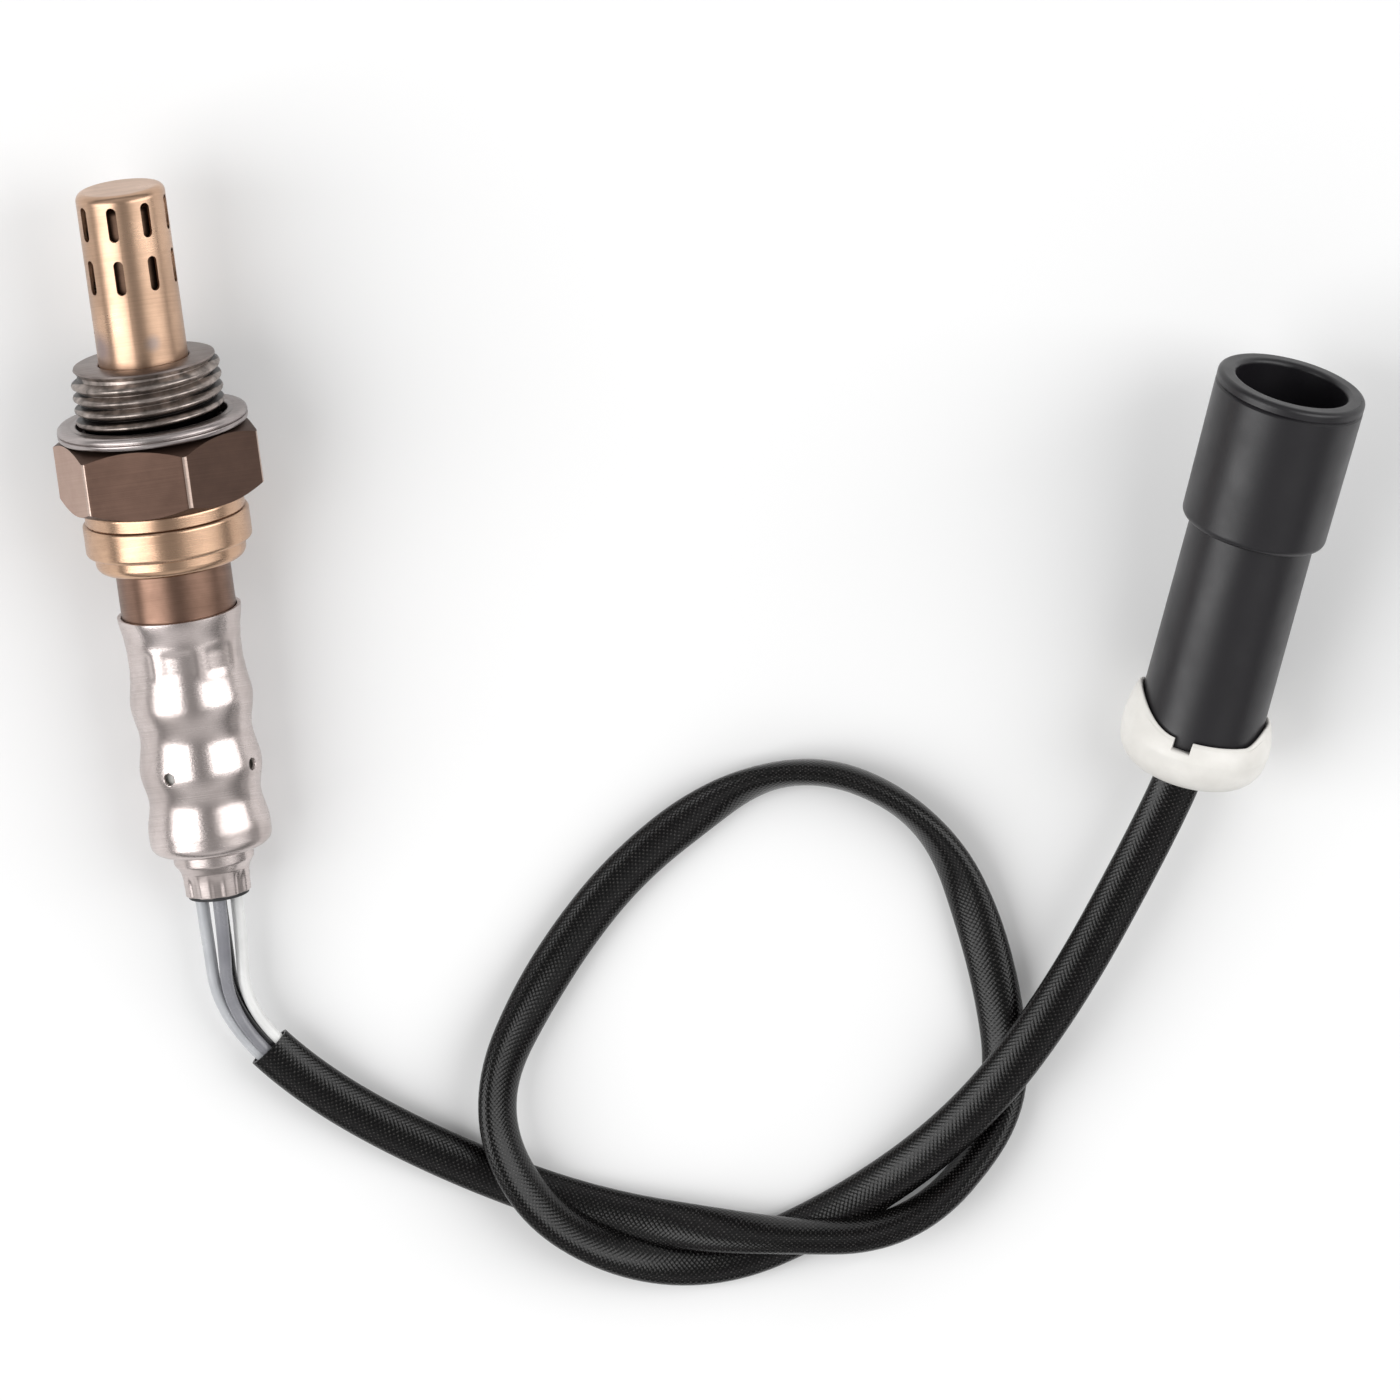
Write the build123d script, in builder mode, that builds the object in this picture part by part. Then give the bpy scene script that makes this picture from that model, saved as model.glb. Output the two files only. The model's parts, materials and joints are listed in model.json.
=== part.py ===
from build123d import *
from math import acos, atan2, cos, degrees, hypot, pi, radians, sin, tan
import os

# Oxygen sensor with its lead and connector, lying on a flat surface at z = 0.
# Millimetres, +Z up.  The sensor's tip points along +Y and is raised a little, because the
# sensor rests on its gasket and on the last bulge of its narrower sleeve.
# "at" values are stations along the sensor's axis: 0 at the hexagon's front face, positive
# towards the tip.  Stations in the connector count from its lip towards the lead.

# --- Sensor: shell, gasket and mounting thread -------------------------------------------
HEX_ACROSS_FLATS = 22.0
HEX_LENGTH = 8.4
HEX_TURN = 16.0                   # upper corner from straight up towards +X
HEX_CHAMFER_SLOPE = 0.75          # axial depth of the corner chamfer per mm of radius
THREAD_DIAMETER = 18.0
THREAD_LENGTH = 5.9
THREAD_RELIEF_DIAMETER = 16.2
NOSE_DIAMETER = 16.7
NOSE_AT = 8.8
SHELL_REAR_DIAMETER = 14.8
SHELL_REAR_LENGTH = 6.8           # collar behind the hexagon, rolled over the packing
GASKET_DIAMETER = 22.9
GASKET_BORE = 18.5
GASKET_THICKNESS = 1.6
GASKET_GAP = 0.2
GASKET_SEAM_WIDTH = 0.3
GASKET_SEAM_DEPTH = 0.4

# --- Sensor: protection tubes ------------------------------------------------------------
TUBE_DIAMETER = 10.75
TUBE_WALL = 0.4
TUBE_END_AT = 29.8
TUBE_CORNER_RADIUS = 1.0
SLOT_COUNT = 8
SLOT_LENGTH = 4.2
SLOT_WIDTH = 1.2
SLOT_ROWS_AT = (26.4, 19.9)
SLOT_TURN = -14.0                 # first slot, from the top towards +X
INNER_TUBE_DIAMETER = 8.6
INNER_TUBE_WALL = 0.3
INNER_TUBE_END_GAP = 1.4
INNER_HOLE_COUNT = 6
INNER_HOLE_DIAMETER = 1.1
INNER_HOLES_AT = 14.5
TUBE_FLANGE_DIAMETER = 13.2
TUBE_FLANGE_REAR_AT = 5.6
TUBE_FLANGE_CLEARANCE = 0.05

# --- Sensor: element, heater and packing -------------------------------------------------
ELEMENT_DIAMETER = 5.8
ELEMENT_WALL = 1.2
ELEMENT_TIP_AT = 22.5
ELEMENT_SHOULDER_DIAMETER = 10.8
ELEMENT_SHOULDER_LENGTH = 3.0
ELEMENT_STEM_DIAMETER = 7.2
ELEMENT_REAR_AT = -19.0
HEATER_DIAMETER = 3.0
HEATER_TIP_GAP = 1.0
HEATER_REAR_AT = -25.0
SEAT_AT = -1.0                    # ledge in the shell that carries the element
SHELL_FRONT_BORE = 9.2
SHELL_REAR_BORE = 11.2
SEAT_WASHER_THICKNESS = 0.4
PACKING_CLEARANCE = 0.05
POWDER_LENGTH = 4.6
PACKING_BUSH_LENGTH = 3.8
LOCK_RING_LENGTH = 0.8

# --- Sensor: collars, casing and crimped sleeve ------------------------------------------
NECK_RING_DIAMETER = 19.2
NECK_RING_LENGTH = 1.8
BAND_DIAMETER = 20.0
BAND_LENGTH = 3.95
BAND_STEP_DROP = 0.95             # from the band's radius to its step's
BAND_STEP_LENGTH = 2.1
BAND_EDGE_RADIUS = 0.5
COLLAR_CLEARANCE = 0.05
CASING_DIAMETER = 13.8
CASING_NECK_DIAMETER = 12.2       # reduced stretch under the crimped sleeve
CASING_WALL = 0.5
CASING_STEP_AT = -22.3
CASING_STEP_LENGTH = 0.8
CASING_REAR_AT = -46.5
SLEEVE_FRONT_AT = -22.1
SLEEVE_CRIMP_AT = -25.4
SLEEVE_CRIMP_END_AT = -29.6
SLEEVE_BULGES_AT = (-33.1, -41.4)
SLEEVE_WAISTS_AT = (-37.2, -45.1)
SLEEVE_LAST_BULGE_AT = -49.3
SLEEVE_REAR_AT = -51.5
SLEEVE_FRONT_CLEARANCE = 0.1      # between the sleeve and the casing
SLEEVE_CRIMP_CLEARANCE = 0.4      # and the casing's neck, from here on
SLEEVE_BULGE_CLEARANCE = 0.8
SLEEVE_WAIST_CLEARANCE = 0.15
SLEEVE_REAR_RADIUS = 1.2
SLEEVE_WALL = 0.45
CRIMP_COUNT = 8
CRIMP_WIDTH = 3.7
CRIMP_LENGTH = 3.5
CRIMP_DEPTH = 0.2
CRIMP_TURN = -7.0
VENT_COUNT = 4
VENT_DIAMETER = 1.5
VENT_AT = -41.2
VENT_TURN = -32.0
FILTER_LENGTH = 4.0
FILTER_WALL = 0.2

# --- Sensor: ferrule, grommet and contacts -----------------------------------------------
FERRULE_SHOULDER_DIAMETER = 9.7
FERRULE_DIAMETER = 8.2
FERRULE_WALL = 0.4
FERRULE_STEP_AT = -53.7
FERRULE_REAR_AT = -57.0
FERRULE_FLANGE_DIAMETER = 12.2
FERRULE_FLANGE_LENGTH = 2.2
FERRULE_CRIMP_DEPTH = 0.12
FERRULE_CRIMP_WIDTH = 2.2
FERRULE_CRIMP_LENGTH = 2.4
FERRULE_CRIMP_TURN = 5.0
GROMMET_PROUD = 0.4
GROMMET_FRONT_AT = -47.6
GROMMET_CLEARANCE = 0.05
HOLDER_FRONT_AT = -26.0
HOLDER_REAR_AT = -42.0
HOLDER_SPRING_WALL = 0.2
HOLDER_SPRING_LENGTH = 7.0
HOLDER_SPRING_AT = -30.0
CONTACT_WIDTH = 1.5
CONTACT_THICKNESS = 0.35
CONTACT_BARREL_DIAMETER = 2.1
CONTACT_BARREL_LENGTH = 6.0
CONTACT_FRONT_AT = -19.3
CONTACT_REAR_AT = -47.0
CONTACT_SLOT_CLEARANCE = 0.1

# --- Lead: four wires in a woven sleeving ------------------------------------------------
WIRE_DIAMETER = 1.6
WIRE_CLEARANCE = 0.05
SLEEVING_DIAMETER = 5.4
SLEEVING_WALL = 0.45
GROMMET_PITCH_RADIUS = 2.1        # wire centres from the axis, in the grommet
SLEEVING_PITCH_RADIUS = 1.28      # and inside the sleeving
PLUG_PITCH_RADIUS = 3.0           # and at the connector's pins

# --- Connector ---------------------------------------------------------------------------
PLUG_EXIT = (116.6, -44.2)        # where the lead leaves the cap, in plan
PLUG_TURN = 21.8                  # axis from +Y towards +X
PLUG_TILT = 14.0                  # lip raised: the springy lead leaves along its own slope
PLUG_LENGTH = 51.0
PLUG_COLLAR_DIAMETER = 18.1
PLUG_COLLAR_REAR_DIAMETER = 17.6
PLUG_COLLAR_LENGTH = 19.0
PLUG_BODY_DIAMETER = 15.2
PLUG_BODY_REAR_AT = 46.6
PLUG_MOUTH_DIAMETER = 13.7
PLUG_MOUTH_DEPTH = 8.5            # the mate's nose reaches to the pins' tips
PLUG_SOCKET_DIAMETER = 13.3
PLUG_SOCKET_DEPTH = 20.0
PLUG_LIP_RADIUS = 0.6
PLUG_COLLAR_EDGE_RADIUS = 0.9
PLUG_REAR_BORE = 12.2
PLUG_CREASE_AT = 1.4
PLUG_CREASE_DEPTH = 0.25
CAP_DIAMETER = 18.0
CAP_FRONT_AT = 41.0
CAP_WALL_GAP = 0.15
CAP_FLOOR = 4.1
CAP_REAR_RADIUS = 4.0
CAP_SADDLE_DEPTH = 3.4
CAP_NOTCH_WIDTH = 2.3
CAP_NOTCH_DEPTH = 1.3
CAP_NOTCH_TURN = -12.6
PIN_HOLDER_LENGTH = 13.0
PIN_TIP_AT = 9.0
PIN_DIAMETER = 1.6
PIN_BARREL_DIAMETER = 2.6
PIN_BARREL_AT = 28.0
PIN_REAR_AT = 35.5
PIN_CLEARANCE = 0.05
SEAL_FRONT_AT = 36.0
SEAL_REAR_AT = 39.8
SEAL_CLEARANCE = 0.05
SEAL_GROOVE_WIDTH = 0.8
SEAL_GROOVE_DEPTH = 0.5
SLEEVING_END_AT = 47.6            # sleeving ends inside the cap
CAP_HOLE_CLEARANCE = 0.1

# --- Sleeve's radii, from what it covers ---------------------------------------------------
neck_cover = CASING_NECK_DIAMETER / 2 + SLEEVE_WALL
sleeve_front_radius = CASING_DIAMETER / 2 + SLEEVE_WALL + SLEEVE_FRONT_CLEARANCE
sleeve_crimp_radius = neck_cover + SLEEVE_CRIMP_CLEARANCE
sleeve_bulge_radius = neck_cover + SLEEVE_BULGE_CLEARANCE
sleeve_waist_radius = neck_cover + SLEEVE_WAIST_CLEARANCE
flange_cover = FERRULE_FLANGE_DIAMETER / 2 + COLLAR_CLEARANCE
sleeve_last_radius = max(sleeve_bulge_radius, flange_cover + SLEEVE_REAR_RADIUS)

# --- Rest position -----------------------------------------------------------------------
# The sensor lies on one rear corner of its hexagon and on the rounded end of its sleeve.
HEX_CORNER_RADIUS = HEX_ACROSS_FLATS / 2 / cos(radians(30))
HEX_CHAMFER = (HEX_CORNER_RADIUS - HEX_ACROSS_FLATS / 2) * HEX_CHAMFER_SLOPE
CORNER_AT = HEX_CHAMFER - HEX_LENGTH
CORNER_REACH = HEX_CORNER_RADIUS * cos(radians(HEX_TURN))
END_ARC_AT = SLEEVE_REAR_AT + SLEEVE_REAR_RADIUS
END_ARC_REACH = sleeve_last_radius - SLEEVE_REAR_RADIUS
rest_span = CORNER_AT - END_ARC_AT
rest_drop = CORNER_REACH - END_ARC_REACH
REST_TILT = degrees(acos(SLEEVE_REAR_RADIUS / hypot(rest_span, rest_drop)) - atan2(rest_span, rest_drop))
AXIS_HEIGHT = CORNER_REACH * cos(radians(REST_TILT)) - CORNER_AT * sin(radians(REST_TILT))
GROMMET_REAR_AT = FERRULE_REAR_AT - GROMMET_PROUD
SENSOR_MID_AT = (TUBE_END_AT + GROMMET_REAR_AT) / 2

tilt = radians(REST_TILT)
axis_direction = Vector(0, cos(tilt), sin(tilt))
axis_origin = Vector(0, -SENSOR_MID_AT * cos(tilt), AXIS_HEIGHT)
sensor_axis = Axis(axis_origin, axis_direction)
# In `half` x is a radius and y a station; in `across` x is +X, y is up, z the station.
half = Plane(origin=axis_origin, x_dir=(1, 0, 0), z_dir=(0, -sin(tilt), cos(tilt)))
across = Plane(origin=axis_origin, x_dir=(-1, 0, 0), z_dir=axis_direction)

plug_turn = radians(PLUG_TURN)
plug_tilt = radians(PLUG_TILT)
plug_direction = Vector(sin(plug_turn) * cos(plug_tilt), cos(plug_turn) * cos(plug_tilt), sin(plug_tilt))
plug_right = Vector(cos(plug_turn), -sin(plug_turn), 0)
cap_edge_radius = CAP_DIAMETER / 2 - CAP_REAR_RADIUS
PLUG_EXIT_HEIGHT = CAP_REAR_RADIUS + cap_edge_radius * cos(plug_tilt) - CAP_REAR_RADIUS * sin(plug_tilt)
plug_exit = Vector(*PLUG_EXIT, PLUG_EXIT_HEIGHT)
plug_lip = plug_exit + plug_direction * PLUG_LENGTH
plug_axis = Axis(plug_lip, plug_direction * -1)
# In `plug_half` x is a radius and y a station behind the lip.
plug_half = Plane(origin=plug_lip, x_dir=plug_right, z_dir=plug_right.cross(plug_direction * -1))
plug_across = Plane(origin=plug_lip, x_dir=plug_right, z_dir=plug_direction * -1)

# Centre line of the lead, from the bend behind the grommet to the last bend before the
# connector.  It lies on the surface, tied into one open overhand loop: under, over, under
# itself, then over, under, over.
LEAD_ROUTE = (
    (1.5, -57.0, 5.2),
    (9.0, -69.0, 4.0),
    (24.0, -79.5, 2.8),
    (40.5, -87.5, 2.8),
    (58.5, -92.5, 10.0),
    (77.0, -96.5, 10.0),
    (92.5, -83.5, 2.8),
    (91.5, -63.5, 2.8),
    (86.0, -45.5, 2.8),
    (70.0, -36.0, 2.8),
    (51.0, -44.5, 2.8),
    (37.0, -57.5, 4.0),
    (25.0, -72.5, 10.0),
    (31.0, -92.0, 10.0),
    (51.0, -99.0, 2.8),
    (69.0, -91.5, 2.8),
    (84.5, -82.0, 10.0),
    (98.0, -70.0, 10.0),
)
MOUTH_SHARE = 0.38                 # sleeving's open end, as a share of the first run above
WIRE_START_AT = -44.0              # in the contact barrels
WIRE_BEND_AT = -61.5               # end of the straight way out of the grommet
PLUG_BEND_AT = 56.5                # last bend before the connector, on its axis
PLUG_GATHER_AT = 46.2              # wires begin to spread here
PLUG_SPREAD_AT = 42.4              # and run parallel from here to the pins
WIRE_END_DEPTH = 3.0
ARC_SHARE = 0.45                   # share of the shorter run that a bend's arc takes


def turned(outline, plane=half, axis=sensor_axis, rounds=(), mode=Mode.ADD):
    """Add a solid of revolution: closed outline of (radius, station) points, some rounded."""
    with BuildSketch(plane) as section:
        with BuildLine():
            Polyline(*outline, close=True)
        make_face()
        for corner, radius in rounds:
            fillet(section.vertices().sort_by_distance(Vector(*corner))[0], radius)
    revolve(section.sketch, axis=axis, mode=mode)


def ring(inner, outer, front, rear, plane=half, axis=sensor_axis, mode=Mode.ADD):
    """Add a plain ring between two diameters and two stations."""
    outline = [(inner / 2, front), (outer / 2, front), (outer / 2, rear), (inner / 2, rear)]
    turned(outline, plane, axis, mode=mode)


def outward(station, turn, height=0.0):
    """Plane facing out from the sensor's axis: x along the axis, turn from the top to +X."""
    up = across.y_dir
    direction = up * cos(radians(turn)) + Vector(1, 0, 0) * sin(radians(turn))
    centre = axis_origin + axis_direction * station + direction * height
    return Plane(origin=centre, x_dir=axis_direction, z_dir=direction)


def save(piece, label):
    piece.part.label = label
    export_step(piece.part, f"parts/{label}.step")


os.makedirs("parts", exist_ok=True)

# === Stations and radii that follow from the sizes above ==================================
gasket_mid = GASKET_GAP + GASKET_THICKNESS / 2
inner_flange_front = TUBE_FLANGE_REAR_AT + INNER_TUBE_WALL
flange_front = inner_flange_front + TUBE_WALL
shoulder_front = SEAT_AT - SEAT_WASHER_THICKNESS
shoulder_rear = shoulder_front - ELEMENT_SHOULDER_LENGTH
powder_rear = shoulder_rear - POWDER_LENGTH
bush_rear = powder_rear - PACKING_BUSH_LENGTH
lock_rear = bush_rear - LOCK_RING_LENGTH
chamfer_radius = 2 * HEX_CORNER_RADIUS - HEX_ACROSS_FLATS / 2
chamfer_length = 2 * HEX_CHAMFER
shell_rear = -HEX_LENGTH - SHELL_REAR_LENGTH
thread_rear = NOSE_AT - (THREAD_DIAMETER - NOSE_DIAMETER) / 2 - THREAD_LENGTH
thread_runout = (THREAD_DIAMETER - THREAD_RELIEF_DIAMETER) / 2
packing_bore = ELEMENT_STEM_DIAMETER + 2 * PACKING_CLEARANCE
packing_diameter = SHELL_REAR_BORE - 2 * PACKING_CLEARANCE
collar_bore = SHELL_REAR_DIAMETER + 2 * COLLAR_CLEARANCE
casing_front = shell_rear - COLLAR_CLEARANCE

# === Shell: hexagon, mounting thread and rear collar, turned from one bar ==================
with BuildPart() as sensor_shell:
    with BuildSketch(across):
        RegularPolygon(HEX_CORNER_RADIUS, 6, rotation=90 + HEX_TURN)
    extrude(amount=-HEX_LENGTH)
    turned(
        [
            (0, 0),
            (HEX_ACROSS_FLATS / 2, 0),
            (chamfer_radius, -chamfer_length),
            (chamfer_radius, chamfer_length - HEX_LENGTH),
            (HEX_ACROSS_FLATS / 2, -HEX_LENGTH),
            (0, -HEX_LENGTH),
        ],
        mode=Mode.INTERSECT,
    )
    turned(
        [
            (0, NOSE_AT),
            (NOSE_DIAMETER / 2, NOSE_AT),
            (THREAD_DIAMETER / 2, NOSE_AT - (THREAD_DIAMETER - NOSE_DIAMETER) / 2),
            (THREAD_DIAMETER / 2, thread_rear),
            (THREAD_RELIEF_DIAMETER / 2, thread_rear - thread_runout),
            (THREAD_RELIEF_DIAMETER / 2, -HEX_LENGTH / 2),
            (SHELL_REAR_DIAMETER / 2, -HEX_LENGTH / 2),
            (SHELL_REAR_DIAMETER / 2, shell_rear),
            (0, shell_rear),
        ]
    )
    tube_bore = TUBE_DIAMETER / 2 + TUBE_FLANGE_CLEARANCE
    groove_radius = TUBE_FLANGE_DIAMETER / 2 + TUBE_FLANGE_CLEARANCE
    turned(
        [
            (0, NOSE_AT),
            (tube_bore, NOSE_AT),
            (tube_bore, flange_front + TUBE_FLANGE_CLEARANCE),
            (groove_radius, flange_front + TUBE_FLANGE_CLEARANCE),
            (groove_radius, TUBE_FLANGE_REAR_AT - TUBE_FLANGE_CLEARANCE),
            (SHELL_FRONT_BORE / 2, TUBE_FLANGE_REAR_AT - TUBE_FLANGE_CLEARANCE),
            (SHELL_FRONT_BORE / 2, SEAT_AT),
            (SHELL_REAR_BORE / 2, SEAT_AT),
            (SHELL_REAR_BORE / 2, lock_rear),
            (ELEMENT_SHOULDER_DIAMETER / 2 - LOCK_RING_LENGTH, lock_rear),
            (ELEMENT_SHOULDER_DIAMETER / 2 - LOCK_RING_LENGTH, shell_rear),
            (0, shell_rear),
        ],
        mode=Mode.SUBTRACT,
    )
save(sensor_shell, "sensor_shell")

# === Gasket: crush ring folded from sheet, with a seam round its edge ======================
with BuildPart() as gasket:
    gasket_front = GASKET_GAP + GASKET_THICKNESS
    gasket_edge = GASKET_DIAMETER / 2
    fold_radius = GASKET_THICKNESS / 2 - GASKET_SEAM_WIDTH
    turned(
        [
            (GASKET_BORE / 2, GASKET_GAP),
            (gasket_edge, GASKET_GAP),
            (gasket_edge, gasket_mid - GASKET_SEAM_WIDTH / 2),
            (gasket_edge - GASKET_SEAM_DEPTH, gasket_mid),
            (gasket_edge, gasket_mid + GASKET_SEAM_WIDTH / 2),
            (gasket_edge, gasket_front),
            (GASKET_BORE / 2, gasket_front),
        ],
        rounds=[((gasket_edge, GASKET_GAP), fold_radius), ((gasket_edge, gasket_front), fold_radius)],
    )
save(gasket, "gasket")

# === Protection tubes: closed tubes, flanged and clamped in the shell's nose ===============
with BuildPart() as protection_tube:
    tube_radius = TUBE_DIAMETER / 2
    tube_inner = tube_radius - TUBE_WALL
    turned(
        [
            (0, TUBE_END_AT),
            (tube_radius, TUBE_END_AT),
            (tube_radius, flange_front),
            (TUBE_FLANGE_DIAMETER / 2, flange_front),
            (TUBE_FLANGE_DIAMETER / 2, inner_flange_front),
            (tube_inner, inner_flange_front),
            (tube_inner, TUBE_END_AT - TUBE_WALL),
            (0, TUBE_END_AT - TUBE_WALL),
        ],
        rounds=[
            ((tube_radius, TUBE_END_AT), TUBE_CORNER_RADIUS),
            ((tube_inner, TUBE_END_AT - TUBE_WALL), TUBE_CORNER_RADIUS - TUBE_WALL),
        ],
    )
    for row_at in SLOT_ROWS_AT:
        for index in range(SLOT_COUNT):
            with BuildSketch(outward(row_at, SLOT_TURN + index * 360 / SLOT_COUNT)):
                SlotOverall(SLOT_LENGTH, SLOT_WIDTH)
            extrude(amount=TUBE_DIAMETER, mode=Mode.SUBTRACT)
save(protection_tube, "protection_tube")

with BuildPart() as inner_tube:
    inner_radius = INNER_TUBE_DIAMETER / 2
    inner_bore = inner_radius - INNER_TUBE_WALL
    inner_end = TUBE_END_AT - TUBE_WALL - INNER_TUBE_END_GAP
    turned(
        [
            (0, inner_end),
            (inner_radius, inner_end),
            (inner_radius, inner_flange_front),
            (TUBE_FLANGE_DIAMETER / 2, inner_flange_front),
            (TUBE_FLANGE_DIAMETER / 2, TUBE_FLANGE_REAR_AT),
            (inner_bore, TUBE_FLANGE_REAR_AT),
            (inner_bore, inner_end - INNER_TUBE_WALL),
            (0, inner_end - INNER_TUBE_WALL),
        ],
        rounds=[
            ((inner_radius, inner_end), TUBE_CORNER_RADIUS),
            ((inner_bore, inner_end - INNER_TUBE_WALL), TUBE_CORNER_RADIUS - INNER_TUBE_WALL),
        ],
    )
    for index in range(INNER_HOLE_COUNT):
        with BuildSketch(outward(INNER_HOLES_AT, index * 360 / INNER_HOLE_COUNT)):
            Circle(INNER_HOLE_DIAMETER / 2)
        extrude(amount=TUBE_DIAMETER, mode=Mode.SUBTRACT)
save(inner_tube, "inner_tube")

# === Element, heater and packing ===========================================================
with BuildPart() as sensing_element:
    element_radius = ELEMENT_DIAMETER / 2
    element_bore = element_radius - ELEMENT_WALL
    turned(
        [
            (0, ELEMENT_TIP_AT),
            (element_radius, ELEMENT_TIP_AT),
            (element_radius, shoulder_front),
            (ELEMENT_SHOULDER_DIAMETER / 2, shoulder_front),
            (ELEMENT_SHOULDER_DIAMETER / 2, shoulder_rear),
            (ELEMENT_STEM_DIAMETER / 2, shoulder_rear),
            (ELEMENT_STEM_DIAMETER / 2, ELEMENT_REAR_AT),
            (element_bore, ELEMENT_REAR_AT),
            (element_bore, ELEMENT_TIP_AT - ELEMENT_WALL),
            (0, ELEMENT_TIP_AT - ELEMENT_WALL),
        ],
        rounds=[((element_radius, ELEMENT_TIP_AT), element_radius * 0.95)],
    )
save(sensing_element, "sensing_element")

with BuildPart() as heater_rod:
    heater_tip = ELEMENT_TIP_AT - ELEMENT_WALL - HEATER_TIP_GAP
    heater_radius = HEATER_DIAMETER / 2
    turned(
        [(0, heater_tip), (heater_radius, heater_tip), (heater_radius, HEATER_REAR_AT), (0, HEATER_REAR_AT)],
        rounds=[((heater_radius, heater_tip), heater_radius / 3)],
    )
save(heater_rod, "heater_rod")

with BuildPart() as seat_washer:
    ring(ELEMENT_DIAMETER + 2 * PACKING_CLEARANCE, packing_diameter, SEAT_AT, shoulder_front)
save(seat_washer, "seat_washer")

with BuildPart() as powder_seal:
    ring(packing_bore, packing_diameter, shoulder_rear, powder_rear)
save(powder_seal, "powder_seal")

with BuildPart() as packing_bush:
    ring(packing_bore, packing_diameter, powder_rear, bush_rear)
save(packing_bush, "packing_bush")

with BuildPart() as lock_ring:
    ring(packing_bore, packing_diameter, bush_rear, lock_rear)
save(lock_ring, "lock_ring")

# === Collars behind the hexagon ============================================================
with BuildPart() as neck_ring:
    neck_rear = -HEX_LENGTH - NECK_RING_LENGTH
    turned(
        [
            (collar_bore / 2, -HEX_LENGTH),
            (NECK_RING_DIAMETER / 2, -HEX_LENGTH),
            (NECK_RING_DIAMETER / 2, neck_rear),
            (collar_bore / 2, neck_rear),
        ],
        rounds=[((NECK_RING_DIAMETER / 2, -HEX_LENGTH), NECK_RING_LENGTH / 3)],
    )
save(neck_ring, "neck_ring")

with BuildPart() as clamp_band:
    band_rear = neck_rear - BAND_LENGTH
    step_rear = band_rear - BAND_STEP_LENGTH
    step_radius = BAND_DIAMETER / 2 - BAND_STEP_DROP
    casing_hole = CASING_DIAMETER / 2 + COLLAR_CLEARANCE
    turned(
        [
            (collar_bore / 2, neck_rear),
            (BAND_DIAMETER / 2, neck_rear),
            (BAND_DIAMETER / 2, band_rear),
            (step_radius, band_rear),
            (step_radius, step_rear),
            (casing_hole, step_rear),
            (casing_hole, casing_front),
            (collar_bore / 2, casing_front),
        ],
        rounds=[
            ((BAND_DIAMETER / 2, neck_rear), BAND_EDGE_RADIUS),
            ((BAND_DIAMETER / 2, band_rear), BAND_EDGE_RADIUS),
            ((step_radius, step_rear), BAND_STEP_LENGTH / 2),
        ],
    )
save(clamp_band, "clamp_band")

# === Casing, crimped sleeve and vent filter ================================================
with BuildPart() as casing_tube:
    casing_outer = CASING_DIAMETER / 2
    casing_neck = CASING_NECK_DIAMETER / 2
    step_end = CASING_STEP_AT - CASING_STEP_LENGTH
    turned(
        [
            (casing_outer - CASING_WALL, casing_front),
            (casing_outer, casing_front),
            (casing_outer, CASING_STEP_AT),
            (casing_neck, step_end),
            (casing_neck, CASING_REAR_AT),
            (casing_neck - CASING_WALL, CASING_REAR_AT),
            (casing_neck - CASING_WALL, step_end - CASING_WALL / 2),
            (casing_outer - CASING_WALL, CASING_STEP_AT - CASING_WALL / 2),
        ]
    )
    for index in range(VENT_COUNT):
        with BuildSketch(outward(VENT_AT, VENT_TURN + index * 360 / VENT_COUNT)):
            Circle(VENT_DIAMETER / 2)
        extrude(amount=BAND_DIAMETER, mode=Mode.SUBTRACT)
save(casing_tube, "casing_tube")


def sleeve_body(inset, rear, mode):
    """Solid inside the sleeve's wavy outline, moved inwards by inset."""
    wave = [(sleeve_front_radius, SLEEVE_FRONT_AT)]
    wave += [(sleeve_crimp_radius, SLEEVE_CRIMP_AT), (sleeve_crimp_radius, SLEEVE_CRIMP_END_AT)]
    for bulge_at, waist_at in zip(SLEEVE_BULGES_AT, SLEEVE_WAISTS_AT):
        wave += [(sleeve_bulge_radius, bulge_at), (sleeve_waist_radius, waist_at)]
    wave.append((sleeve_last_radius, SLEEVE_LAST_BULGE_AT))
    points = [(radius - inset, station) for radius, station in wave]
    end_radius = points[-1][0]
    with BuildSketch(half) as section:
        with BuildLine():
            Spline(*points)
            Polyline(points[-1], (end_radius, rear), (0, rear), (0, SLEEVE_FRONT_AT), points[0])
        make_face()
        fillet(section.vertices().sort_by_distance(Vector(end_radius, rear))[0], SLEEVE_REAR_RADIUS - inset)
    revolve(section.sketch, axis=sensor_axis, mode=mode)


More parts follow.
